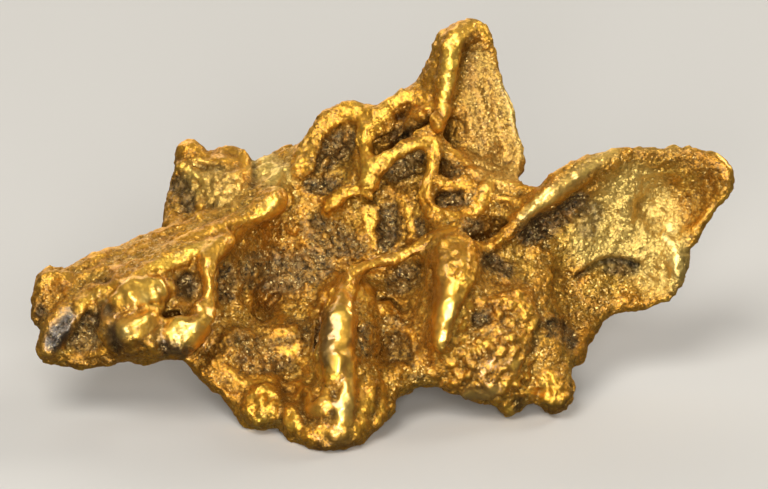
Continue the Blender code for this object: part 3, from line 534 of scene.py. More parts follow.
# Pits of the solid that are filled before the finer ones are sunk.
FILLED = {
    "divider_notch": (1.6, (378, 146, 8)),
    "crest_floor6": (1, (398, 174, 10), (410, 162, 9)),
    "crest_floor5": (1.6, (444, 160, 7), (454, 168, 8), (464, 174, 6)),
    "crest_floor4": (1.8, (466, 226, 9), (482, 226, 9)),
    "crest_floor3": (1.8, (446, 198, 8), (464, 197, 7)),
    "crest_floor1": (1.8, (316, 164, 12), (332, 148, 12), (344, 138, 9)),
    "crest_floor2": (3.8, (386, 146, 9), (398, 134, 10), (411, 123, 10), (426, 116, 9), (436, 122, 6)),
    "arm_eye_low": (2.4, (170, 306, 9), (184, 308, 9), (196, 305, 7)),
    "left_column_pocket": (1.2, (366, 308, 9), (367, 328, 9), (369, 350, 10)),
    "foot_pocket": (1, (304, 388, 9)),
    "wall_floor": (0.8, (400, 278, 10), (384, 296, 10)),
    "right_pocket": (1.4, (370, 370, 10), (374, 392, 10)),
    "lobe_mass": (0.4, (503, 318, 26), (500, 346, 28), (490, 374, 24)),
}

# What is sunk into the face: cells, grooves, holes, gaps and cracks.
SUNK = {
    # The spike.
    "spike_groove": (0.8, (470, 44, 4), (465, 60, 5), (462, 78, 5), (462, 92, 6), (456, 106, 6),
        (452, 118, 4)),
    "spike_hollow": (1, (467, 46, 5), (468, 60, 4), (472, 76, 3)),
    "spike_valley": (0.8, (482, 84, 3), (489, 112, 3), (494, 140, 3), (498, 164, 3)),
    # The crest: a net of ridges round cells.
    "cell10": (0.8, (318, 222, 7), (320, 236, 8)),
    "cell9": (1, (338, 232, 10), (344, 244, 9)),
    "cell8": (0.5, (463, 226, 6), (478, 226, 5)),
    "cell6": (1.3, (388, 211, 10), (389, 228, 11), (387, 241, 8)),
    "cell5": (0.3, (443, 198, 6), (456, 198, 7), (466, 196, 5)),
    "cell4": (0.5, (445, 159, 5), (454, 168, 7), (464, 174, 5)),
    "cell3": (0.6, (396, 177, 8), (406, 166, 10), (416, 155, 8)),
    "cell2": (0.3, (395, 137, 6), (403, 128, 8), (411, 120, 6)),
    "cell1_low": (0.7, (313, 185, 7), (322, 182, 7)),
    "cell1": (0.5, (317, 168, 10), (329, 153, 11), (342, 139, 9)),
    "cell5_corner": (0.8, (494, 206, 4), (500, 210, 3)),
    "cell7_hole": (1.4, (419, 222, 5), (421, 232, 5)),
    # The basin below the crest.
    "basin_pit_a": (0.7, (222, 266, 6), (224, 280, 6), (222, 296, 5)),
    "basin_pit_b": (0.7, (320, 226, 7), (322, 238, 7)),
    "basin_pit_c": (0.7, (346, 240, 7), (350, 228, 6)),
    # The tower at the upper left.
    "tower_pit_a": (1.6, (180, 182, 5), (186, 194, 6), (188, 206, 5)),
    "tower_pit_b": (1.1, (196, 182, 3), (200, 196, 4), (210, 204, 3)),
    "tower_under_ledge": (1.5, (200, 167, 4), (210, 168, 4), (222, 167, 4), (232, 169, 3)),
    "tower_fork": (1.4, (208, 206, 4), (218, 204, 4), (226, 204, 3)),
    "tower_gap": (1.6, (252, 158, 4), (254, 172, 4), (252, 186, 4), (256, 196, 4)),
    # The arm at the left, with its loop, its lobe and its end.
    "arm_eye": (2.2, (181, 280, 6), (189, 284, 9), (188, 293, 7)),
    "arm_slit": (1, (94, 280, 2), (102, 281, 3), (110, 280, 2)),
    "arm_lobe_shadow": (1, (107, 310, 3), (120, 312, 3), (134, 311, 3)),
    "arm_slot": (2.2, (89, 312, 3), (82, 324, 4), (75, 336, 4), (67, 349, 3)),
    "arm_triangle_dimple": (1.6, (92, 330, 5)),
    "arm_ring_hole": (1, (40, 312, 6)),
    "arm_lobe_gap": (0.8, (113, 326, 5), (114, 340, 5), (118, 350, 4)),
    "arm_lobe_dark": (0.9, (160, 338, 5), (163, 350, 5)),
    # The front foot and its flutes.
    "flute_groove": (0.9, (378, 388, 2.5), (377, 402, 2.5), (374, 416, 2.5)),
    "foot_groove_b": (1.2, (360, 388, 3), (361, 402, 3), (360, 416, 3)),
    "foot_groove_a": (1.3, (332, 390, 3), (334, 404, 3), (330, 418, 3), (318, 421, 3), (308, 420, 3)),
    "flute_gap": (0.8, (369, 394, 2.5), (367, 406, 2.5)),
    "foot_gap": (0.8, (302, 408, 4), (303, 418, 4)),
    # The skirt left of the foot.
    "skirt_groove_b": (1.3, (303, 396, 3.5), (303, 412, 4), (306, 428, 4)),
    "skirt_groove_a": (1.4, (283, 392, 4), (281, 406, 4), (281, 420, 4)),
    "skirt_hole_a": (0.9, (238, 340, 4), (232, 336, 3), (245, 336, 3)),
    "skirt_hole_b": (0.8, (284, 366, 7), (294, 368, 6)),
    "skirt_hole_c": (0.8, (300, 318, 4), (304, 326, 4)),
    "skirt_knob_gap": (0.8, (282, 404, 3), (281, 418, 3)),
    # The wall between the columns.
    "notch": (1, (412, 376, 5), (420, 376, 4), (428, 362, 4)),
    "wall_top": (0.7, (388, 282, 7), (402, 276, 7), (418, 268, 7)),
    "wall_mid": (0.7, (396, 318, 5), (408, 314, 5), (420, 318, 4)),
    # The right column.
    "right_column_groove": (0.9, (464, 306, 4), (458, 320, 4), (453, 336, 4), (450, 350, 3)),
    # The bubbly lobe.
    "lobe_edge": (0.9, (537, 300, 5), (541, 318, 5), (537, 336, 5), (533, 352, 4), (528, 368, 4)),
    "lobe_cave_a": (0.8, (478, 320, 8), (488, 318, 6)),
    "lobe_cave_b": (0.8, (453, 352, 4), (452, 340, 4)),
    # The small foot and its leg.
    "leg_cave": (0.9, (544, 326, 5), (556, 322, 6), (568, 326, 5)),
    "leg_gap": (0.9, (532, 344, 3), (540, 352, 3), (536, 362, 3)),
    "leg_dark": (0.8, (575, 334, 5), (571, 350, 4)),
    "small_foot_gap": (0.9, (522, 384, 3), (521, 396, 3), (524, 406, 3)),
    "small_foot_hole": (0.8, (548, 404, 4), (556, 403, 4)),
    # The wing at the right, its throat and its rims.
    "wing_dents": (1.2, (600, 206, 4), (612, 222, 4), (606, 238, 4)),
    "under_rim": (0.8, (524, 232, 7), (538, 224, 8), (552, 216, 7), (566, 206, 5), (580, 194, 5),
        (594, 186, 4)),
    "wing_hole": (2.4, (546, 245, 6)),
    "throat_shadow": (1, (482, 258, 3), (492, 258, 4), (502, 266, 4), (509, 275, 4)),
    "wing_shelf": (1.4, (608, 267, 4), (620, 266, 4), (632, 267, 4)),
    "wing_crack": (4, (576, 278, 4), (588, 271, 4), (598, 264, 4), (609, 261, 4), (622, 262, 4),
        (636, 266, 4)),
}

# Where a grey-brown crust of broken grains lies.
PATINA = {
    "cell1": (1, (318, 160, 16), (332, 152, 16), (346, 140, 12)),
    "cell1_low": (1, (310, 186, 8), (322, 187, 9), (335, 184, 7)),
    "cell2": (0.8, (396, 138, 6), (404, 131, 8), (411, 125, 6)),
    "cell3": (1, (394, 172, 10), (404, 166, 14), (416, 157, 9)),
    "cell4": (0.75, (446, 166, 10), (456, 171, 9)),
    "cell5": (1, (446, 200, 9), (458, 199, 9), (467, 198, 6)),
    "cell6": (1, (388, 214, 13), (390, 228, 14), (386, 242, 10)),
    "cell7": (1, (419, 222, 6), (421, 232, 6)),
    "cell8": (1, (466, 226, 8), (478, 226, 7)),
    "basin_a": (1, (256, 272, 20), (276, 272, 22), (298, 272, 22), (318, 262, 18)),
    "basin_b": (1, (316, 228, 16), (340, 240, 16), (356, 246, 12)),
    "basin_c": (1, (224, 272, 12), (226, 292, 12)),
    "tower": (1, (180, 188, 14), (186, 202, 12)),
    "arm_triangle": (1, (92, 332, 14), (84, 344, 12)),
    "arm_eye": (1, (186, 285, 14)),
    "arm_slot": (1, (84, 322, 8), (72, 340, 8)),
    "arm_ring": (1, (40, 312, 9)),
    "arm_lobe_low": (1, (168, 344, 9), (182, 348, 8)),
    "skirt": (0.7, (240, 344, 18), (268, 360, 18), (300, 330, 16)),
    "wall_c": (0.7, (392, 330, 16), (404, 356, 16)),
    "wall_a": (1, (410, 276, 14), (396, 284, 12)),
    "wall_b": (1, (368, 330, 9), (366, 350, 8)),
    "lobe_all": (0.4, (496, 318, 20), (490, 350, 24), (480, 374, 18)),
    "lobe_cave": (1, (480, 320, 11)),
    "leg": (1, (552, 326, 12), (572, 342, 8)),
    # Under the wing's rim this crust also darkens a painted shadow of the rim.
    "under_rim": (1, (528, 234, 12), (544, 226, 14), (560, 218, 12), (580, 200, 9)),
    "throat": (1, (490, 262, 10), (506, 270, 9)),
    "wing_a": (1, (590, 212, 14), (588, 230, 10)),
    "wing_b": (1, (612, 266, 9), (630, 266, 9)),
}

# Where the gold is paler, and where pale gold is painted highlight: spots and streaks on the lobes, the foot,
# the spike's edge and the wing's rims, and the wing, painted lighter than its light makes it.
PALE_AND_HIGHLIGHTS = {
    "spike_panel": (0.4, (478, 60, 14), (484, 90, 20), (490, 120, 26), (496, 150, 28), (500, 168, 22)),
    "spike_edge": (0.8, (500, 82, 3), (507, 94, 3), (512, 112, 3), (517, 134, 3), (521, 158, 3)),
    "tower_lump": (0.8, (266, 168, 16), (280, 176, 14)),
    "tower": (0.6, (200, 180, 20), (224, 188, 20)),
    **beads("arm_light", 0.8, (145, 298, 5), (125, 332, 6), (180, 333, 7), (196, 327, 5)),
    "foot_light": (0.9, (346, 400, 5), (344, 412, 6)),
    "lobe_light": (0.4, (466, 394, 5), (486, 395, 5), (497, 388, 5)),
    "wing_rim_streak": (1, (521, 222, 4), (530, 212, 5)),
    "wing_streak": (1, (672, 226, 7), (669, 240, 9), (674, 256, 10), (678, 272, 8)),
    "wing": (1, (640, 230, 34), (664, 264, 28), (640, 190, 26), (600, 240, 30)),
    "wing_rim": (0.6, (538, 204, 6), (552, 194, 7), (570, 180, 8), (594, 162, 7), (616, 153, 5)),
    "wing_top_edge": (0.4, (640, 150, 4), (664, 148, 4), (690, 147, 4)),
}

# Where it is worn smooth and glossy.
SLEEK = {
    "spike": (0.35, (472, 26, 9), (452, 52, 9), (449, 78, 8), (446, 110, 6)),
    "spike_edge": (0.5, (503, 86, 3), (512, 112, 3), (517, 136, 3)),
    "bars": (0.2, (423, 190, 5), (432, 160, 4)),
    "bar6": (0.2, (484, 188, 8), (480, 204, 7)),
    "arm_lobe": (0.8, (166, 291, 13), (148, 291, 15), (128, 294, 14)),
    "arm_loop": (0.7, (214, 250, 8), (209, 264, 8), (209, 290, 9), (205, 314, 10)),
    "arm_loop_top": (0.2, (222, 240, 8), (204, 249, 12), (184, 260, 12)),
    "arm_lower": (0.8, (118, 330, 12), (136, 322, 14), (154, 328, 14), (172, 328, 14), (190, 334, 14),
        (202, 336, 12)),
    "arm_facet": (0.6, (72, 312, 9), (60, 332, 13), (50, 347, 11)),
    "arm_end_edge": (0.8, (100, 300, 8), (110, 316, 8)),
    "arm_boss": (0.5, (280, 200, 8), (266, 211, 9)),
    "arm_roll": (0.3, (252, 220, 7), (200, 236, 7)),
    "left_column": (1, (344, 300, 8), (341, 318, 14), (338, 340, 16), (340, 362, 13)),
    "left_column_roll": (0.25, (440, 234, 6), (406, 253, 7), (368, 266, 7), (346, 286, 7)),
    "foot": (1, (348, 380, 8), (344, 400, 12), (342, 418, 12)),
    "foot_knob": (0.6, (316, 404, 12)),
    "foot_lip": (0.7, (322, 434, 8), (346, 436, 8)),
    "right_column_top": (0.3, (455, 262, 18), (452, 280, 15)),
    "right_column": (0.9, (449, 292, 13), (444, 314, 12), (440, 338, 9)),
    "lobe_a": (0.8, (515, 366, 8)),
    "lobe_b": (0.8, (468, 394, 7), (494, 390, 8)),
    **beads("lobe_bead", 0.9, (466, 394, 5), (475, 396, 5), (486, 394, 5), (497, 388, 6), (493, 363, 5),
        (483, 373, 5), (516, 366, 6), (528, 350, 4), (503, 331, 4), (432, 372, 4)),
    "wing_streak": (0.5, (672, 226, 5), (669, 240, 6), (674, 256, 7), (677, 270, 6)),
    "wing_rim": (0.7, (524, 216, 5), (536, 206, 8), (552, 195, 9), (570, 182, 8), (596, 164, 6)),
    "wing_tip_edge": (0.5, (700, 148, 4), (716, 153, 4), (727, 163, 4), (732, 176, 4), (729, 190, 4)),
}

# Where it is stained brown, and where brown is painted shade and shadow: on undersides, on the left side of
# the left column, in the throat and under the wing's rim.
BROWNED_AND_SHADED = {
    "spike_side": (0.5, (430, 72, 9)),
    "spike_hollow": (0.7, (474, 40, 7), (468, 54, 7), (470, 72, 6), (470, 88, 5)),
    "crest_side": (0.5, (302, 150, 7), (330, 108, 8)),
    "basin_left": (0.5, (232, 262, 14), (232, 290, 14)),
    "tower_edge": (0.6, (172, 160, 8), (170, 200, 8)),
    "tower_top": (0.5, (196, 150, 8), (236, 152, 8)),
    "arm_under": (0.8, (126, 350, 9), (140, 348, 8)),
    "arm_end_knob": (0.8, (38, 300, 7), (36, 318, 8)),
    "arm_end_low": (0.7, (70, 362, 6), (110, 360, 6)),
    "arm_end_top": (0.45, (44, 284, 9), (58, 277, 9), (72, 275, 8)),
    "left_column_side": (0.5, (328, 312, 9), (327, 332, 11), (327, 352, 10), (328, 368, 8)),
    "foot_low": (0.8, (320, 446, 8), (350, 446, 8)),
    "right_column_top": (0.3, (458, 252, 14), (470, 268, 9)),
    "right_column_side": (0.8, (440, 258, 12), (438, 280, 9), (434, 304, 6)),
    "lobe": (0.35, (490, 320, 24), (486, 350, 26), (476, 372, 20)),
    "leg": (0.6, (556, 326, 12)),
    "small_foot": (0.5, (552, 414, 9)),
    "wing_tip": (0.45, (640, 152, 7), (664, 154, 9), (690, 158, 12), (708, 168, 12), (716, 184, 10)),
    "wing_tip_low": (0.2, (700, 200, 12), (712, 205, 8)),
    "under_rim": (1, (524, 234, 10), (544, 224, 12), (562, 212, 10), (580, 198, 7)),
    "throat": (0.8, (488, 258, 8), (504, 268, 8)),
    "wing_low": (0.5, (600, 300, 12), (580, 320, 10)),
}

# Where it is painted near-black: dirt in pits, painted shade in cracks, holes and grooves, and painted shadow
# under the wing's rim and in its throat.
GRIME_AND_SHADOW = {
    "spike_hollow": (0.35, (466, 46, 5), (465, 60, 4)),
    "spike_spot": (0.5, (467, 86, 4)),
    "spike_valley": (0.3, (474, 100, 2), (478, 120, 2), (480, 140, 2)),
    "spike_panel": (0.16, (478, 66, 14), (486, 100, 22), (494, 130, 24), (500, 160, 20)),
    "cell2": (0.4, (394, 136, 5), (403, 128, 6), (411, 121, 4)),
    "cell7": (0.7, (419, 222, 4), (421, 232, 4)),
    "cell6": (0.4, (388, 212, 7), (390, 228, 9), (386, 240, 6)),
    "cell1_low": (0.4, (311, 184, 6), (322, 184, 6)),
    "eye": (0.6, (182, 280, 6), (189, 286, 7), (187, 296, 5)),
    "tower_pit": (0.6, (178, 180, 5), (185, 192, 7), (188, 206, 6)),
    "tower_under_ledge": (0.5, (200, 167, 3), (211, 168, 4), (223, 167, 3)),
    "tower_fork": (0.6, (208, 206, 3), (218, 204, 3)),
    "tower_gap": (0.6, (252, 158, 3), (254, 172, 3), (252, 186, 3)),
    "arm_slit": (0.8, (96, 281, 2), (104, 281, 3), (110, 280, 2)),
    "arm_slot": (0.8, (90, 310, 3), (82, 324, 3), (75, 336, 3), (67, 349, 3)),
    "arm_triangle_dimple": (0.8, (92, 329, 4)),
    "arm_ring": (0.8, (40, 312, 5)),
    "arm_lobe_gap": (0.6, (112, 326, 4), (114, 340, 4), (118, 350, 4)),
    "left_column_left": (0.5, (318, 300, 4), (313, 318, 4), (312, 340, 4), (316, 360, 4)),
    "foot_ring_low": (0.7, (333, 392, 3), (335, 406, 3), (328, 419, 3), (314, 421, 3), (305, 418, 3)),
    "flute_groove": (0.7, (378, 388, 2.5), (377, 402, 2.5), (374, 416, 2.5)),
    "skirt_groove_a": (0.7, (284, 390, 3), (282, 406, 3), (281, 420, 3)),
    "skirt_groove_b": (0.7, (303, 394, 3), (302, 410, 3), (306, 426, 3)),
    "skirt_hole_a": (0.7, (238, 340, 4), (230, 337, 3), (245, 337, 3)),
    "skirt_hole_b": (0.6, (284, 366, 5), (294, 368, 5)),
    "notch": (0.9, (412, 377, 4), (421, 377, 4)),
    "lobe_cave": (0.6, (478, 320, 7), (488, 318, 5)),
    "lobe_right": (0.6, (541, 312, 4), (539, 330, 4), (534, 350, 4)),
    "leg_cave": (0.6, (544, 326, 4), (556, 322, 4), (568, 326, 4)),
    "leg_dark": (0.6, (575, 334, 4), (571, 350, 4)),
    "small_foot_low": (0.6, (546, 408, 4), (556, 409, 4), (566, 404, 4)),
    "wing_crack": (1, (576, 277, 3), (588, 270, 3), (598, 264, 3), (609, 261, 3), (622, 262, 3),
        (638, 267, 4)),
    "wing_crack_floor": (0.7, (606, 270, 4), (620, 271, 5), (634, 272, 4)),
    "wing_hole": (0.9, (546, 245, 5)),
    "under_rim": (0.5, (528, 234, 7), (544, 224, 8), (560, 213, 7), (576, 200, 5)),
    "throat": (0.7, (484, 260, 4), (494, 260, 5), (504, 268, 5), (510, 276, 4)),
}

# Where it is warmer, towards amber.
AMBER_PLACES = {
    "spike_side": (0.5, (438, 40, 6), (430, 70, 8), (434, 100, 7)),
    "cell1_band": (0.7, (300, 165, 8), (303, 150, 9), (314, 134, 9), (329, 118, 9), (345, 106, 8)),
    "divider": (0.7, (366, 112, 8), (368, 130, 9), (368, 150, 8)),
    "bars": (0.6, (432, 152, 5), (428, 174, 6), (421, 198, 6), (438, 212, 5), (470, 213, 5)),
    "bar6": (0.7, (487, 184, 7), (481, 203, 8)),
    "arch": (0.7, (327, 212, 6), (334, 198, 7), (350, 191, 7), (366, 199, 6)),
    "tower_top": (0.7, (178, 150, 6), (190, 144, 6), (203, 153, 5), (222, 154, 5), (238, 152, 6),
        (246, 162, 5)),
    "roll": (0.7, (258, 217, 7), (233, 222, 6), (207, 232, 6), (180, 238, 6)),
    "boss": (0.5, (284, 198, 8), (266, 210, 10)),
    "loop": (0.6, (216, 250, 8), (210, 264, 8), (210, 290, 8)),
    "arm_low": (0.6, (120, 350, 8), (132, 352, 8), (180, 352, 7)),
    "left_column_top": (0.6, (336, 300, 8), (345, 284, 7)),
    "foot_low": (0.6, (300, 430, 7), (322, 442, 7), (346, 442, 7), (366, 430, 6)),
    "right_column_top": (0.9, (444, 254, 9), (458, 252, 12), (462, 268, 14), (454, 284, 10)),
    "small_foot_low": (0.6, (544, 412, 6), (562, 410, 6)),
    "wing_low_rim": (0.5, (550, 208, 4), (564, 199, 4), (580, 188, 4)),
    "wing_tip": (0.5, (720, 158, 6), (728, 172, 6)),
}

# Where it is covered in small bubbles.
BUBBLY = {
    "tower": (0.6, (190, 176, 24), (222, 186, 26)),
    "foot": (0.5, (382, 408, 16)),
    "skirt": (0.6, (262, 404, 18)),
    "lobe": (1, (510, 310, 22), (512, 350, 26), (500, 385, 26)),
    "lobe_left": (1, (470, 330, 16), (464, 375, 24)),
    "small_foot": (0.8, (550, 392, 22)),
}

# Where its grain is fine and low.
CALM = {
    "spike_panel": (1, (476, 60, 14), (484, 90, 22), (490, 120, 28), (496, 150, 30), (500, 172, 24)),
    "arm_top": (0.5, (120, 262, 16), (200, 232, 14)),
    "wing": (0.7, (640, 210, 50), (600, 250, 40), (690, 190, 40)),
}

# Where it is painted dark grey: a painted reflection of dark surroundings on the arm's facet and lobes, and
# painted shade on undersides and on the left column's side.
SLATE_REFLECTION_AND_SHADE = {
    "arm_facet": (1, (70, 315, 7), (60, 331, 10), (52, 345, 8)),
    "arm_lobe_left": (0.7, (96, 318, 7), (106, 308, 8)),
    "arm_lobe_shade": (0.6, (112, 330, 6), (116, 345, 7)),
    "arm_under": (0.7, (165, 346, 9), (184, 350, 9)),
    "left_column_side": (0.6, (326, 318, 7), (325, 340, 8), (326, 360, 7)),
    "foot": (0.2, (322, 442, 8), (352, 440, 8)),
    "lobe_beads": (0.6, (520, 404, 7)),
}

# Where the solid's own relief is mostly levelled, because the strokes give it again.
SHALLOW = {
    "crest": (1, (320, 150, 28), (350, 135, 28), (400, 128, 30), (420, 150, 30), (450, 170, 30),
        (480, 200, 26)),
    "cells": (1, (320, 190, 22), (360, 190, 26), (400, 200, 28), (420, 230, 26), (390, 250, 22)),
    "crest_gap": (1, (484, 228, 16)),
    "diagonal": (1, (373, 166, 14), (350, 185, 14), (327, 203, 14)),
    "basin": (1, (262, 300, 22), (290, 280, 24)),
    "tower": (1, (190, 190, 18)),
    "arm_facet": (0.7, (68, 318, 14), (56, 340, 14)),
    "arm": (1, (118, 302, 20), (150, 306, 26), (186, 300, 26), (196, 326, 22)),
    "left_column": (0.7, (340, 300, 22), (340, 345, 30), (342, 390, 26)),
    "foot": (0.9, (316, 408, 24), (345, 425, 20), (376, 400, 16)),
    "skirt": (0.9, (236, 372, 20), (262, 392, 24), (290, 412, 20)),
    "right_column": (0.6, (455, 270, 26), (445, 310, 20), (440, 340, 16)),
}


# Reading and changing meshes.


def evaluated(mesh, *modifiers, keep=None):
    """A new mesh: this one after the modifiers, with keep, if given, as the vertex group of that name."""
    thing = bpy.data.objects.new("temporary", mesh)
    bpy.context.scene.collection.objects.link(thing)
    if keep is not None:
        group = thing.vertex_groups.new(name="keep")
        steps = np.round(keep * KEEP_STEPS).astype(int)
        for step in range(KEEP_STEPS + 1):
            group.add(np.where(steps == step)[0].tolist(), step / KEEP_STEPS, "REPLACE")
    for kind, values in modifiers:
        made = thing.modifiers.new(kind.lower(), kind)
        for name, value in values.items():
            setattr(made, name, value)
    bpy.context.view_layer.update()
    graph = bpy.context.evaluated_depsgraph_get()
    result = bpy.data.meshes.new_from_object(thing.evaluated_get(graph))
    bpy.data.objects.remove(thing)
    return result


def remeshed(mesh, voxel):
    """The mesh as a skin of small even faces, this many mm wide."""
    return evaluated(mesh, ("REMESH", {"mode": "VOXEL", "voxel_size": voxel * MM}))


def rows_of(things, name, width, kind):
    """This attribute of each of the things, as the rows of an array."""
    found = np.empty(len(things) * width, kind)
    things.foreach_get(name, found)
    return found.reshape(-1, width)


def points_of(mesh):
    return rows_of(mesh.vertices, "co", 3, np.float32).astype(float) / MM


def normals_of(mesh):
    return rows_of(mesh.vertex_normals, "vector", 3, np.float32).astype(float)


def edges_of(mesh):
    return rows_of(mesh.edges, "vertices", 2, np.int32)


def put_points(mesh, points):
    mesh.vertices.foreach_set("co", (points * MM).astype(np.float32).ravel())
    mesh.update()


def tree_of(mesh):
    return BVHTree.FromPolygons([v.co for v in mesh.vertices], [p.vertices for p in mesh.polygons])


def averaged(values, edges, rounds):
    """The values after this many rounds of moving halfway to the neighbours' mean."""
    count = len(values)
    ends = np.concatenate([edges[:, 0], edges[:, 1]])
    others = np.concatenate([edges[:, 1], edges[:, 0]])
    degree = np.maximum(np.bincount(ends, minlength=count), 1)
    columns = list(values.reshape(count, -1).T)
    for _ in range(rounds):
        columns = [0.5 * c + 0.5 * np.bincount(ends, c[others], count) / degree for c in columns]
    return np.stack(columns, 1).reshape(values.shape)


def smoothed(mesh, rounds):
    """The points of the mesh, averaged."""
    return averaged(points_of(mesh), edges_of(mesh), rounds)


def proudness(points, normals, edges, rounds):
    """How far each point stands above its surroundings, in mm, which reach further with more rounds."""
    return ((points - averaged(points, edges, rounds)) * normals).sum(1)


def smoothstep(low, high, values):
    """0 up to low, 1 from high on, and a smooth step between them; low may be the larger."""
    t = np.clip((values - low) / (high - low), 0.0, 1.0)
    return t * t * (3 - 2 * t)


# Strokes, and what the camera sees of them.


def pixels_of(points):
    """Where the camera sees each point, in the photograph's frame."""
    away = points - EYE
    depth = -(away @ TOWARD_CAMERA)
    across = FRAME_WIDTH / 2 + FOCAL_PIXELS * away[:, 0] / depth
    down = FRAME_HEIGHT / 2 - FOCAL_PIXELS * (away @ UP_THE_FACE) / depth
    return np.stack([across, down], 1)


def bend(before, start, end, after, t):
    """Point at t on the smooth curve from start to end, given its neighbours."""
    linear = (end - before) * t
    square = (2 * before - 5 * start + 4 * end - after) * t**2
    cube = (3 * start - before - 3 * end + after) * t**3
    return 0.5 * (2 * start + linear + square + cube)


def route_of(stops):
    """Closely spaced (x, y, radius) along a smooth curve through the stops."""
    stops = [np.array(stop, float) for stop in stops]
    last = len(stops) - 1
    found = [stops[-1]]
    for i in range(last):
        around = stops[max(i - 1, 0)], stops[i], stops[i + 1], stops[min(i + 2, last)]
        steps = max(2, round(np.linalg.norm(around[2][:2] - around[1][:2]) / STEP_ALONG))
        found += [bend(*around, s / steps) for s in range(steps)]
    return np.array(found)


def near_route(pixels, route, widen):
    """The pixels that a route, widened this many times, can reach."""
    reach = route[:, 2:] * widen
    low = (route[:, :2] - reach).min(0)
    high = (route[:, :2] + reach).max(0)
    return np.where(((pixels > low) & (pixels < high)).all(1))[0]


def relief(pixels, strokes, cross_section):
    """How high the rounded rolls along the strokes stand at each pixel, in pixels."""
    widen, steepness = cross_section
    found = np.zeros(len(pixels))
    for share, *stops in strokes.values():
        route = route_of(stops)
        near = near_route(pixels, route, widen)
        for x, y, radius in route:
            off = ((pixels[near] - (x, y)) ** 2).sum(1) / (radius * widen) ** 2
            height = share * radius * np.clip(1 - off, 0, 1) ** steepness
            found[near] = np.maximum(found[near], height)
    return found


def layered(pixels, strokes, cross_section):
    """Height of the broad rolls with that of the small ones standing on them."""
    broad = {name: stroke for name, stroke in strokes.items() if stroke[1][2] >= BROAD_RADIUS}
    small = {name: stroke for name, stroke in strokes.items() if name not in broad}
    return relief(pixels, broad, cross_section) + relief(pixels, small, cross_section)


def zone(pixels, strokes):
    """Each stroke's share inside it, fading to 0 at its edge."""
    found = np.zeros(len(pixels))
    for share, *stops in strokes.values():
        route = route_of(stops)
        near = near_route(pixels, route, ZONE_EDGE)
        for x, y, radius in route:
            off = np.sqrt(((pixels[near] - (x, y)) ** 2).sum(1)) / radius
            found[near] = np.maximum(found[near], share * smoothstep(ZONE_EDGE, ZONE_CORE, off))
    return found


def seen(points, normals, tree):
    """How squarely the camera sees each place: 0 where it is hidden or edge-on, 1 where it faces it."""
    facing = smoothstep(*SEEN, normals @ TOWARD_CAMERA)
    for i in np.where(facing > 0)[0]:
        start = Vector(points[i] + normals[i] * SIGHT_LIFT) * MM
        if tree.ray_cast(start, Vector(EYE - points[i]).normalized())[0] is not None:
            facing[i] = 0.0
    return facing


def closeness(points, normals, tree):
    """Share of the directions above each place that gold blocks within CLOSE_REACH."""
    shares = np.zeros(len(points))
    golden_angle = math.pi * (3 - math.sqrt(5))
    off_x = np.abs(normals[:, :1]) < MOST_ALONG_X
    side = np.cross(normals, np.where(off_x, [[1.0, 0, 0]], [[0, 1.0, 0]]))
    side /= np.linalg.norm(side, axis=1)[:, None]
    other = np.cross(normals, side)
    starts = ((points + normals * CLOSE_LIFT) * MM).tolist()
    for k in range(CLOSE_RAYS):
        turn = k * golden_angle
        up = math.sqrt(1 - (k + 0.5) / CLOSE_RAYS)
        out = math.sqrt(1 - up * up)
        ways = normals * up + side * (out * math.cos(turn)) + other * (out * math.sin(turn))
        for i, (start, way) in enumerate(zip(starts, ways.tolist())):
            if tree.ray_cast(start, way, CLOSE_REACH * MM)[0] is not None:
                shares[i] += 1 / CLOSE_RAYS
    return shares


# Natural unevenness.


def scaled(points, kind):
    """The points measured in lumps of this kind of grain, and its height."""
    size, start, height = GRAIN[kind]
    return (points / size + start).tolist(), height


def domes(points, kind):
    """Domes packed side by side, whose tops stand out and whose seams are sunk."""
    places, height = scaled(points, kind)
    nearest = np.array([noise.voronoi(p)[0][0] for p in places])
    return height * (np.clip(1 - (nearest / DOME_RADIUS) ** 2, 0, 1) - SUNK_SEAMS[kind])


def facets(points, kind):
    """Broken faces side by side, each tilted its own way."""
    places, height = scaled(points, kind)
    centres = [noise.voronoi(p)[1][0] for p in places]
    tilts = np.array([noise.cell_vector(centre * FACE_SEED) for centre in centres])
    return FACE_TILT * height * ((np.array(places) - np.array(centres)) * (tilts - 0.5)).sum(1)


def swell(points, kind, octaves=OCTAVES):
    """Smooth unevenness, finer with more octaves."""
    places, height = scaled(points, kind)
    return height * np.array([noise.fractal(p, OCTAVE_FADE, OCTAVE_STEP, octaves) for p in places])


def wavering(points, across, up, amount):
    """Shifts of each place in the frame, in pixels, so that no stroke runs evenly."""
    return amount * np.stack([swell(points, across), swell(points, up)], 1)


# The nugget's mesh.


def levelled(points, edges, normals, facing):
    """The face with the solid's pits partly filled and its tubes partly trimmed."""
    shallow = zone(pixels_of(points), SHALLOW)
    fill = (FILL + FILL_IN_SHALLOWS * shallow) * facing
    trim = (TRIM + TRIM_IN_SHALLOWS * shallow) * facing
    for _ in range(LEVELLING_ROUNDS):
        hollow = -proudness(points, normals, edges, ROUND_A_ROLL)
        step = fill * np.clip(hollow, 0, None) + trim * np.clip(hollow, None, 0)
        points = points + normals * step[:, None]
    return points


def carve(skin):
    """Gives the face its rolls, beads, cells, holes and cracks."""
    edges = edges_of(skin)
    normals = averaged(normals_of(skin), edges, FINE_ROUNDS)
    normals /= np.linalg.norm(normals, axis=1)[:, None]
    facing = averaged(seen(points_of(skin), normals, tree_of(skin)), edges, EDGE_ROUNDS)
    points = levelled(points_of(skin), edges, normals, facing)
    pixels = pixels_of(points) + wavering(points, "waver_across", "waver_up", WAVER)
    uneven = 1 + UNEVENNESS * swell(points, "stroke_swell")
    raised = layered(pixels, RAISED, ROLL) * uneven + relief(pixels, FILLED, FILLING)
    sunk = relief(pixels, SUNK, GROOVE)
    put_points(skin, points + normals * ((RAISE * raised - SINK * sunk) * PIXEL * facing)[:, None])


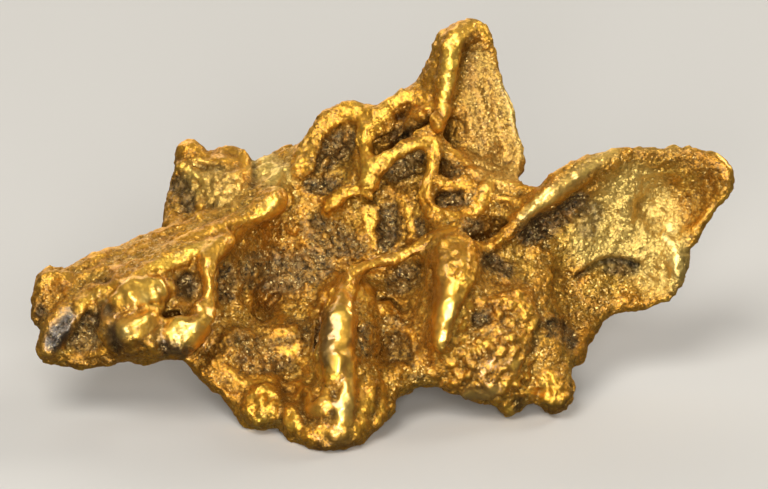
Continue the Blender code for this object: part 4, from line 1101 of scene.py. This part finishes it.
def soften_the_back(skin):
    """Wears the side away from the camera smooth and gives it low lumps."""
    points, edges = points_of(skin), edges_of(skin)
    turned_away = smoothstep(*BEHIND, normals_of(skin) @ TOWARD_CAMERA)
    behind = averaged(turned_away, edges, BACK_EDGE_ROUNDS)[:, None]
    points = points + BACK_WEAR * behind * (averaged(points, edges, BACK_WEAR_ROUNDS) - points)
    put_points(skin, points)
    lumps = swell(points, "back_swell", FEW_OCTAVES) + domes(points, "back_crumb")
    lumps += swell(points, "back_ripple")
    put_points(skin, points + normals_of(skin) * behind * lumps[:, None])


def grain_height(points, sleek, ridge, calm, bubbly, rocky):
    """How far the grain stands out at each point, in mm, given how much of each kind of place it is."""

    def kept(values, lost, kind):
        return 1 - lost[kind] * values

    loose = kept(sleek, LOST_WHERE_SLEEK, "loose") * kept(ridge, LOST_ON_RIDGES, "loose")
    loose *= 1 - LOST_WHERE_CALM * calm
    rise = domes(points, "crumb") * loose
    rise += domes(points, "bubble") * bubbly * kept(sleek, LOST_WHERE_SLEEK, "bubble")
    rise += facets(points, "break") * loose * (1 - LOST_WHERE_BUBBLY * bubbly)
    rise += facets(points, "rock") * rocky
    rise += domes(points, "pebble") * rocky
    ripple = swell(points, "ripple", FEW_OCTAVES) * kept(sleek, LOST_WHERE_SLEEK, "ripple")
    rise += ripple * kept(ridge, LOST_ON_RIDGES, "ripple")
    rise += swell(points, "ridge_swell") * ridge * kept(sleek, LOST_WHERE_SLEEK, "ridge_swell")
    rise += swell(points, "sleek_swell") * sleek
    rise += swell(points, "wide_swell") * kept(sleek, LOST_WHERE_SLEEK, "wide_swell")
    return rise


def roughen(skin):
    """Covers the gold with its grain: crumbs, bubbles and broken faces, but only slow swells where sleek."""
    points, edges, normals = points_of(skin), edges_of(skin), normals_of(skin)
    pixels = pixels_of(points)
    front = averaged(1.0 * (normals @ TOWARD_CAMERA > GRAINED_FRONT), edges, WIDE_EDGE_ROUNDS)
    proud = proudness(points, normals, edges, ROUND_A_LUMP)
    on_stroke = smoothstep(*ROUGH_HEIGHT, relief(pixels, RAISED, ROUGH_RIDGE)) * front
    ridge = np.maximum(on_stroke, smoothstep(*ROUGH_PROUD, proud))
    sleek = zone(pixels, SLEEK) * front * smoothstep(*SLEEK_PROUD, proud)
    calm = zone(pixels, CALM) * front
    bubbly = zone(pixels, BUBBLY) * front
    rocky = zone(pixels, PATINA) * front * (1 - LOST_ON_RIDGES["rock"] * ridge)
    rise = grain_height(points, sleek, ridge, calm, bubbly, rocky)
    points = points + sleek[:, None] * (averaged(points, edges, EDGE_ROUNDS) - points)
    points = points + normals * rise[:, None]
    points[:, 2] = np.maximum(points[:, 2], 0.0)
    put_points(skin, points)


def thinned(skin):
    """The skin in at most MOST_TRIANGLES, more of them in front than behind."""
    in_front = smoothstep(*FINE_MESH, normals_of(skin) @ TOWARD_CAMERA)
    keep = BACK_SHARE + (1 - BACK_SHARE) * averaged(in_front, edges_of(skin), WIDE_EDGE_ROUNDS)
    by_side = {
        "ratio": KEPT_AT_FIRST,
        "vertex_group": "keep",
        "vertex_group_factor": 1.0,
        "invert_vertex_group": True,
    }
    thin = evaluated(skin, ("TRIANGULATE", {}), ("DECIMATE", by_side), keep=keep)
    return evaluated(thin, ("DECIMATE", {"ratio": min(1.0, MOST_TRIANGLES / len(thin.polygons))}))


def drop_islands(mesh):
    """Deletes what isn't joined to the largest piece of the mesh, such as the skin of a sealed bubble."""
    shape = bmesh.new()
    shape.from_mesh(mesh)
    unseen = set(shape.verts)
    pieces = []
    while unseen:
        piece = [unseen.pop()]
        for vertex in piece:
            neighbours = {edge.other_vert(vertex) for edge in vertex.link_edges} & unseen
            piece.extend(neighbours)
            unseen -= neighbours
        pieces.append(piece)
    pieces.sort(key=len)
    islands = [vertex for piece in pieces[:-1] for vertex in piece]
    bmesh.ops.delete(shape, geom=islands, context="VERTS")
    shape.to_mesh(mesh)
    shape.free()


def bright_ridges(pixels, proud, front, shade):
    """What is worn to bright metal: the raised strokes and all that stands out, unless it is closed in."""
    on_stroke = smoothstep(*BRIGHT_HEIGHT, relief(pixels, RAISED, BRIGHT_RIDGE)) * front
    worn_through = WORN_BEHIND + (WORN_IN_FRONT - WORN_BEHIND) * front
    return np.maximum(on_stroke, smoothstep(0.0, worn_through, proud)) * smoothstep(*OPEN_SHADE, shade)


def mark_zones(mesh):
    """Writes what the material needs to know of each place: what stands out, what is worn, dirty or pale, and
    where shade, shadow, highlights and dark reflections are painted.
    """
    points, edges, normals = points_of(mesh), edges_of(mesh), normals_of(mesh)
    pixels = pixels_of(points)
    slate_pixels = pixels + wavering(points, "slate_across", "slate_up", SLATE_WAVER)
    front = averaged(smoothstep(*COLOURED_FRONT, normals @ TOWARD_CAMERA), edges, EDGE_ROUNDS)
    proud = averaged(proudness(points, normals, edges, ROUND_A_BEAD), edges, 1)
    nick = proudness(points, normals, edges, ROUND_A_CRUMB)
    # Painted shade: how much gold closes each place in darkens its colour.
    shade = averaged(closeness(points, normals, tree_of(mesh)), edges, FINE_ROUNDS)
    ridge = bright_ridges(pixels, proud, front, shade)
    zones = {
        "ridge": ridge,
        "sleek": zone(pixels, SLEEK) * front * smoothstep(*SLEEK_PROUD, proud),
        # Painted shade: hollows and nicks darken the colour.
        "crease": np.maximum(smoothstep(*HOLLOW, proud), NICK_SHARE * smoothstep(*NICK, nick)),
        "shade": shade,
        "patina": zone(pixels, PATINA) * front * (1 - LOST_ON_RIDGES["patina"] * ridge),
        "slate": zone(slate_pixels, SLATE_REFLECTION_AND_SHADE) * front,
        "pale": zone(pixels, PALE_AND_HIGHLIGHTS) * front,
        "amber": zone(pixels, AMBER_PLACES) * front,
        "browned": zone(pixels, BROWNED_AND_SHADED) * front,
        "grime": zone(pixels, GRIME_AND_SHADOW) * front,
    }
    for name, rounds in ZONE_ROUNDS.items():
        layer = mesh.attributes.new(name, "FLOAT", "POINT")
        layer.data.foreach_set("value", averaged(zones[name], edges, rounds).astype(np.float32))


def build_nugget():
    """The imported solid's skin, carved, covered in grain, thinned and marked for the material."""
    carved = remeshed(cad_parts["nugget"].data.copy(), CARVING_VOXEL)
    put_points(carved, smoothed(carved, SKIN_ROUNDS))
    carve(carved)
    grained = remeshed(carved, GRAIN_VOXEL)
    put_points(grained, smoothed(grained, FINE_ROUNDS))
    soften_the_back(grained)
    roughen(grained)
    mesh = thinned(grained)
    drop_islands(mesh)
    mesh.name = "gold_nugget"
    mark_zones(mesh)
    mesh.shade_smooth()
    mesh.materials.clear()
    nugget = bpy.data.objects.new("gold_nugget", mesh)
    bpy.context.scene.collection.objects.link(nugget)
    return nugget


# The material.

gold = bpy.data.materials.new("native_gold")
gold.use_nodes = True
nodes = gold.node_tree.nodes
links = gold.node_tree.links
shader = nodes["Principled BSDF"]
place = nodes.new("ShaderNodeTexCoord").outputs["Object"]

# The Mix node's two inputs and its output, by what it mixes.
MIX_SOCKETS = {"FLOAT": (2, 3, 0), "RGBA": (6, 7, 2)}


def put(socket, value):
    if isinstance(value, bpy.types.NodeSocket):
        links.new(value, socket)
    else:
        socket.default_value = value


def attribute(name):
    made = nodes.new("ShaderNodeAttribute")
    made.attribute_name = name
    return made.outputs["Fac"]


def operated(kind, operation, output, *values):
    """The output of a node of this kind that does this operation on the values."""
    made = nodes.new(kind)
    made.operation = operation
    for socket, value in zip(made.inputs, values):
        put(socket, value)
    return made.outputs[output]


def maths(operation, *values):
    return operated("ShaderNodeMath", operation, "Value", *values)


def vector_maths(operation, *values):
    output = "Value" if operation == "DOT_PRODUCT" else "Vector"
    return operated("ShaderNodeVectorMath", operation, output, *values)


def chained(operation):
    """A function that takes values and does this operation on them one after the other."""

    def result(first, *others):
        for other in others:
            first = maths(operation, first, other)
        return first

    return result


times = chained("MULTIPLY")
plus = chained("ADD")
largest = chained("MAXIMUM")


def less(value, share=1.0):
    """1 where the value is 0, falling by that share of it."""
    return maths("MULTIPLY_ADD", value, -share, 1.0)


def mixed(share, first, second):
    """The first colour or number, passing into the second as the share rises to 1."""
    colour = isinstance(first, tuple) or (isinstance(first, bpy.types.NodeSocket) and first.type == "RGBA")
    made = nodes.new("ShaderNodeMix")
    made.data_type = "RGBA" if colour else "FLOAT"
    first_socket, second_socket, output = MIX_SOCKETS[made.data_type]
    put(made.inputs["Factor"], share)
    put(made.inputs[first_socket], first)
    put(made.inputs[second_socket], second)
    return made.outputs[output]


def ranged(value, kind):
    """The value, moved from where an effect begins and is full to what it goes from and to."""
    low, high, *goal = RANGES[kind]
    to_low, to_high = goal or (0.0, 1.0)
    made = nodes.new("ShaderNodeMapRange")
    put(made.inputs["Value"], value)
    for name, number in (("From Min", low), ("From Max", high), ("To Min", to_low), ("To Max", to_high)):
        made.inputs[name].default_value = number
    return made.outputs["Result"]


def cloud(kind, output="Fac"):
    size, detail = CLOUDS[kind]
    made = nodes.new("ShaderNodeTexNoise")
    put(made.inputs["Vector"], place)
    made.inputs["Scale"].default_value = 1 / (size * MM)
    made.inputs["Detail"].default_value = detail
    return made.outputs[output]


def crystals(size, around):
    """Small flat faces, each tilted its own way.

    Gives their height in metres, a random number for each, and the distance from the middle of the face.
    """
    cells = nodes.new("ShaderNodeTexVoronoi")
    put(cells.inputs["Vector"], around)
    cells.inputs["Scale"].default_value = 1 / (size * MM)
    off = vector_maths("SUBTRACT", around, cells.outputs["Position"])
    middle_colour = (0.5, 0.5, 0.5)
    tilt = vector_maths("SUBTRACT", cells.outputs["Color"], middle_colour)
    height = vector_maths("DOT_PRODUCT", off, tilt)
    parts = nodes.new("ShaderNodeSeparateColor")
    put(parts.inputs["Color"], cells.outputs["Color"])
    return height, parts.outputs["Red"], cells.outputs["Distance"]


def look_at_surface():
    """What the material knows of each place: the mesh's zones, the patterns and what these make together."""
    at = SimpleNamespace(**{name: attribute(name) for name in ZONE_ROUNDS})
    at.clouds = cloud("hue")
    at.mottle = cloud("mottle")
    bent = vector_maths("MULTIPLY_ADD", cloud("bending", "Color"), (BENDING * MM,) * 3, place)
    at.small_height, at.small_random, _ = crystals(SMALL_CRYSTAL, bent)
    at.large_height, _, at.large_seam = crystals(LARGE_CRYSTAL, bent)
    at.crust = ranged(plus(at.patina, times(at.small_random, CRYSTALS_IN_CRUST), at.mottle), "crust")
    bare = less(largest(times(at.ridge, RIDGE_IS_CLEAN), at.sleek, times(at.pale, PALE_AND_HIGHLIGHT_ARE_CLEAN)))
    specks_here = maths("MULTIPLY_ADD", at.patina, SPECKS_IN_PATINA, SPECKS)
    at.specks = times(ranged(cloud("specks"), "specks"), bare, specks_here)
    at.glints = times(ranged(at.small_random, "glints"), bare, less(at.specks))
    return at


def bare_gold(at):
    """Brighter and yellower where it stands out, orange on its flanks as a painted reflection, pale gold also
    as painted highlights, and brown also as painted shade.
    """
    hue = ranged(at.clouds, "hue")
    base = mixed(ranged(at.mottle, "brown_mottle"), mixed(hue, BASE_A, BASE_B), BROWN)
    bright = mixed(ranged(at.mottle, "dull_mottle"), mixed(hue, BRIGHT_A, BRIGHT_B), base)
    colour = mixed(at.ridge, base, bright)
    # Painted reflection: the deeper orange that light bounced between gold faces gives the flanks.
    colour = mixed(times(at.ridge, less(at.ridge), STRENGTH["flanks"]), colour, ORANGE)
    # Pale gold, partly painted highlights.
    colour = mixed(times(at.pale, STRENGTH["pale"]), colour, PALE_GOLD_AND_HIGHLIGHT)
    colour = mixed(times(at.amber, ranged(at.mottle, "amber_mottle")), colour, AMBER)
    # Brown stain, partly painted shade and shadow.
    return mixed(times(at.browned, STRENGTH["browned"]), colour, BROWN)


def dirtied_and_shaded(colour, at):
    """With painted shade in what is closed in and in creases, crust in the cells, painted dark reflection and
    shade, near-black dirt and painted shade, and dark seams.
    """
    uneven = ranged(at.mottle, "shade_and_grime_mottle")
    # Painted shade: deep brown where gold closes a place in.
    colour = mixed(times(ranged(at.shade, "closed_in"), uneven), colour, DEEP_BROWN)
    # Painted shade: deep brown in hollows and nicks.
    colour = mixed(times(at.crease, STRENGTH["creases"], uneven), colour, DEEP_BROWN)
    colour = mixed(at.crust, colour, mixed(ranged(at.clouds, "crust_hue"), PATINA_GREY, PATINA_BROWN))
    # Painted dark reflection and shade in slate grey.
    colour = mixed(at.slate, colour, SLATE_GREY)
    # Near-black dirt, and painted shade and shadow.
    colour = mixed(times(at.grime, uneven), colour, SPECK)
    grainy = less(largest(at.ridge, at.sleek, times(at.pale, PALE_AND_HIGHLIGHT_ARE_CLEAN)))
    return mixed(times(ranged(at.large_seam, "seams"), grainy, STRENGTH["seams"]), colour, DEEP_BROWN)


def sprinkled(colour, at):
    """Dark specks, and painted glints: small faces between them painted bright."""
    colour = mixed(at.specks, colour, SPECK)
    # Painted glints: small faces painted bright.
    return mixed(times(at.glints, STRENGTH["glints"]), colour, GLINT)


def polish(at):
    """Glossier where it is worn, under a thin coat where it is sleek, and dull where it is crusted."""
    put(shader.inputs["Metallic"], ranged(at.crust, "metallic"))
    gloss = mixed(at.sleek, mixed(at.ridge, ROUGHNESS["flat"], ROUGHNESS["ridge"]), ROUGHNESS["sleek"])
    gloss = mixed(at.crust, mixed(at.slate, gloss, ROUGHNESS["slate"]), ROUGHNESS["crust"])
    put(shader.inputs["Roughness"], mixed(at.glints, gloss, ROUGHNESS["glint"]))
    clean = (less(at.slate, COAT_LOST["slate"]), less(at.amber, COAT_LOST["amber"]))
    coat = plus(times(at.sleek, *clean, COAT["sleek"]), times(at.ridge, COAT["ridge"]), COAT["least"])
    put(shader.inputs["Coat Weight"], coat)
    put(shader.inputs["Coat Roughness"], mixed(at.sleek, COAT_ROUGHNESS["dull"], COAT_ROUGHNESS["sleek"]))
    put(shader.inputs["Coat IOR"], COAT_INDEX)


def emboss(at):
    """The crystal faces and their seams, as bump."""
    faces = plus(times(at.small_height, SMALL_SLOPE), times(at.large_height, LARGE_SLOPE))
    height = plus(faces, ranged(at.large_seam, "seam_height"))
    bump = nodes.new("ShaderNodeBump")
    bump.inputs["Distance"].default_value = 1.0
    bump.inputs["Strength"].default_value = 1.0
    worn = (less(at.sleek, BUMP_LOST["sleek"]), less(at.ridge, BUMP_LOST["ridge"]))
    put(bump.inputs["Height"], times(height, *worn))
    put(shader.inputs["Normal"], bump.outputs["Normal"])


def make_gold():
    at = look_at_surface()
    put(shader.inputs["Base Color"], sprinkled(dirtied_and_shaded(bare_gold(at), at), at))
    polish(at)
    emboss(at)


# The studio.


def lay_floor():
    mesh = bpy.data.meshes.new("floor")
    corners = [(-1, -1), (1, -1), (1, 1), (-1, 1)]
    mesh.from_pydata([(x * FLOOR_HALF * MM, y * FLOOR_HALF * MM, 0) for x, y in corners], [], [range(4)])
    paint = bpy.data.materials.new("pale_floor")
    paint.use_nodes = True
    painted = paint.node_tree.nodes["Principled BSDF"].inputs
    painted["Base Color"].default_value = (FLOOR_SHADE, FLOOR_SHADE, FLOOR_SHADE, 1)
    painted["Roughness"].default_value = FLOOR_ROUGHNESS
    mesh.materials.append(paint)
    floor = bpy.data.objects.new("floor", mesh)
    bpy.context.scene.collection.objects.link(floor)
    floor.visible_glossy = False
    return floor


def place_facing(thing, forward):
    """Puts a light or a camera into the scene, looking along the direction forward."""
    thing.rotation_mode = "QUATERNION"
    thing.rotation_quaternion = forward.to_track_quat("-Z", "Y")
    bpy.context.scene.collection.objects.link(thing)


def add_light(name, location, size, power, colour):
    data = bpy.data.lights.new(name, "AREA")
    data.shape = "DISK"
    data.size = size * MM
    data.energy = power
    data.color = colour
    light = bpy.data.objects.new(name, data)
    light.location = Vector(location) * MM
    place_facing(light, Vector(LIT_PLACE) - Vector(location))


def add_world():
    world = bpy.data.worlds.new("studio")
    world.use_nodes = True
    world.node_tree.nodes["Background"].inputs["Color"].default_value = WORLD
    bpy.context.scene.world = world


def add_camera():
    lens = bpy.data.cameras.new("camera")
    lens.lens = lens.sensor_width * FOCAL_PIXELS / FRAME_WIDTH
    lens.clip_start = NEAREST_SEEN * MM
    camera = bpy.data.objects.new("camera", lens)
    camera.location = Vector(EYE * MM)
    place_facing(camera, Vector(-TOWARD_CAMERA))
    bpy.context.scene.camera = camera


nugget = build_nugget()
make_gold()
nugget.data.materials.append(gold)
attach(nugget, "root")
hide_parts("nugget")

lay_floor()
for name, values in LIGHTS.items():
    add_light(name, *values)
add_world()
add_camera()
bpy.context.scene.view_settings.view_transform = "Standard"
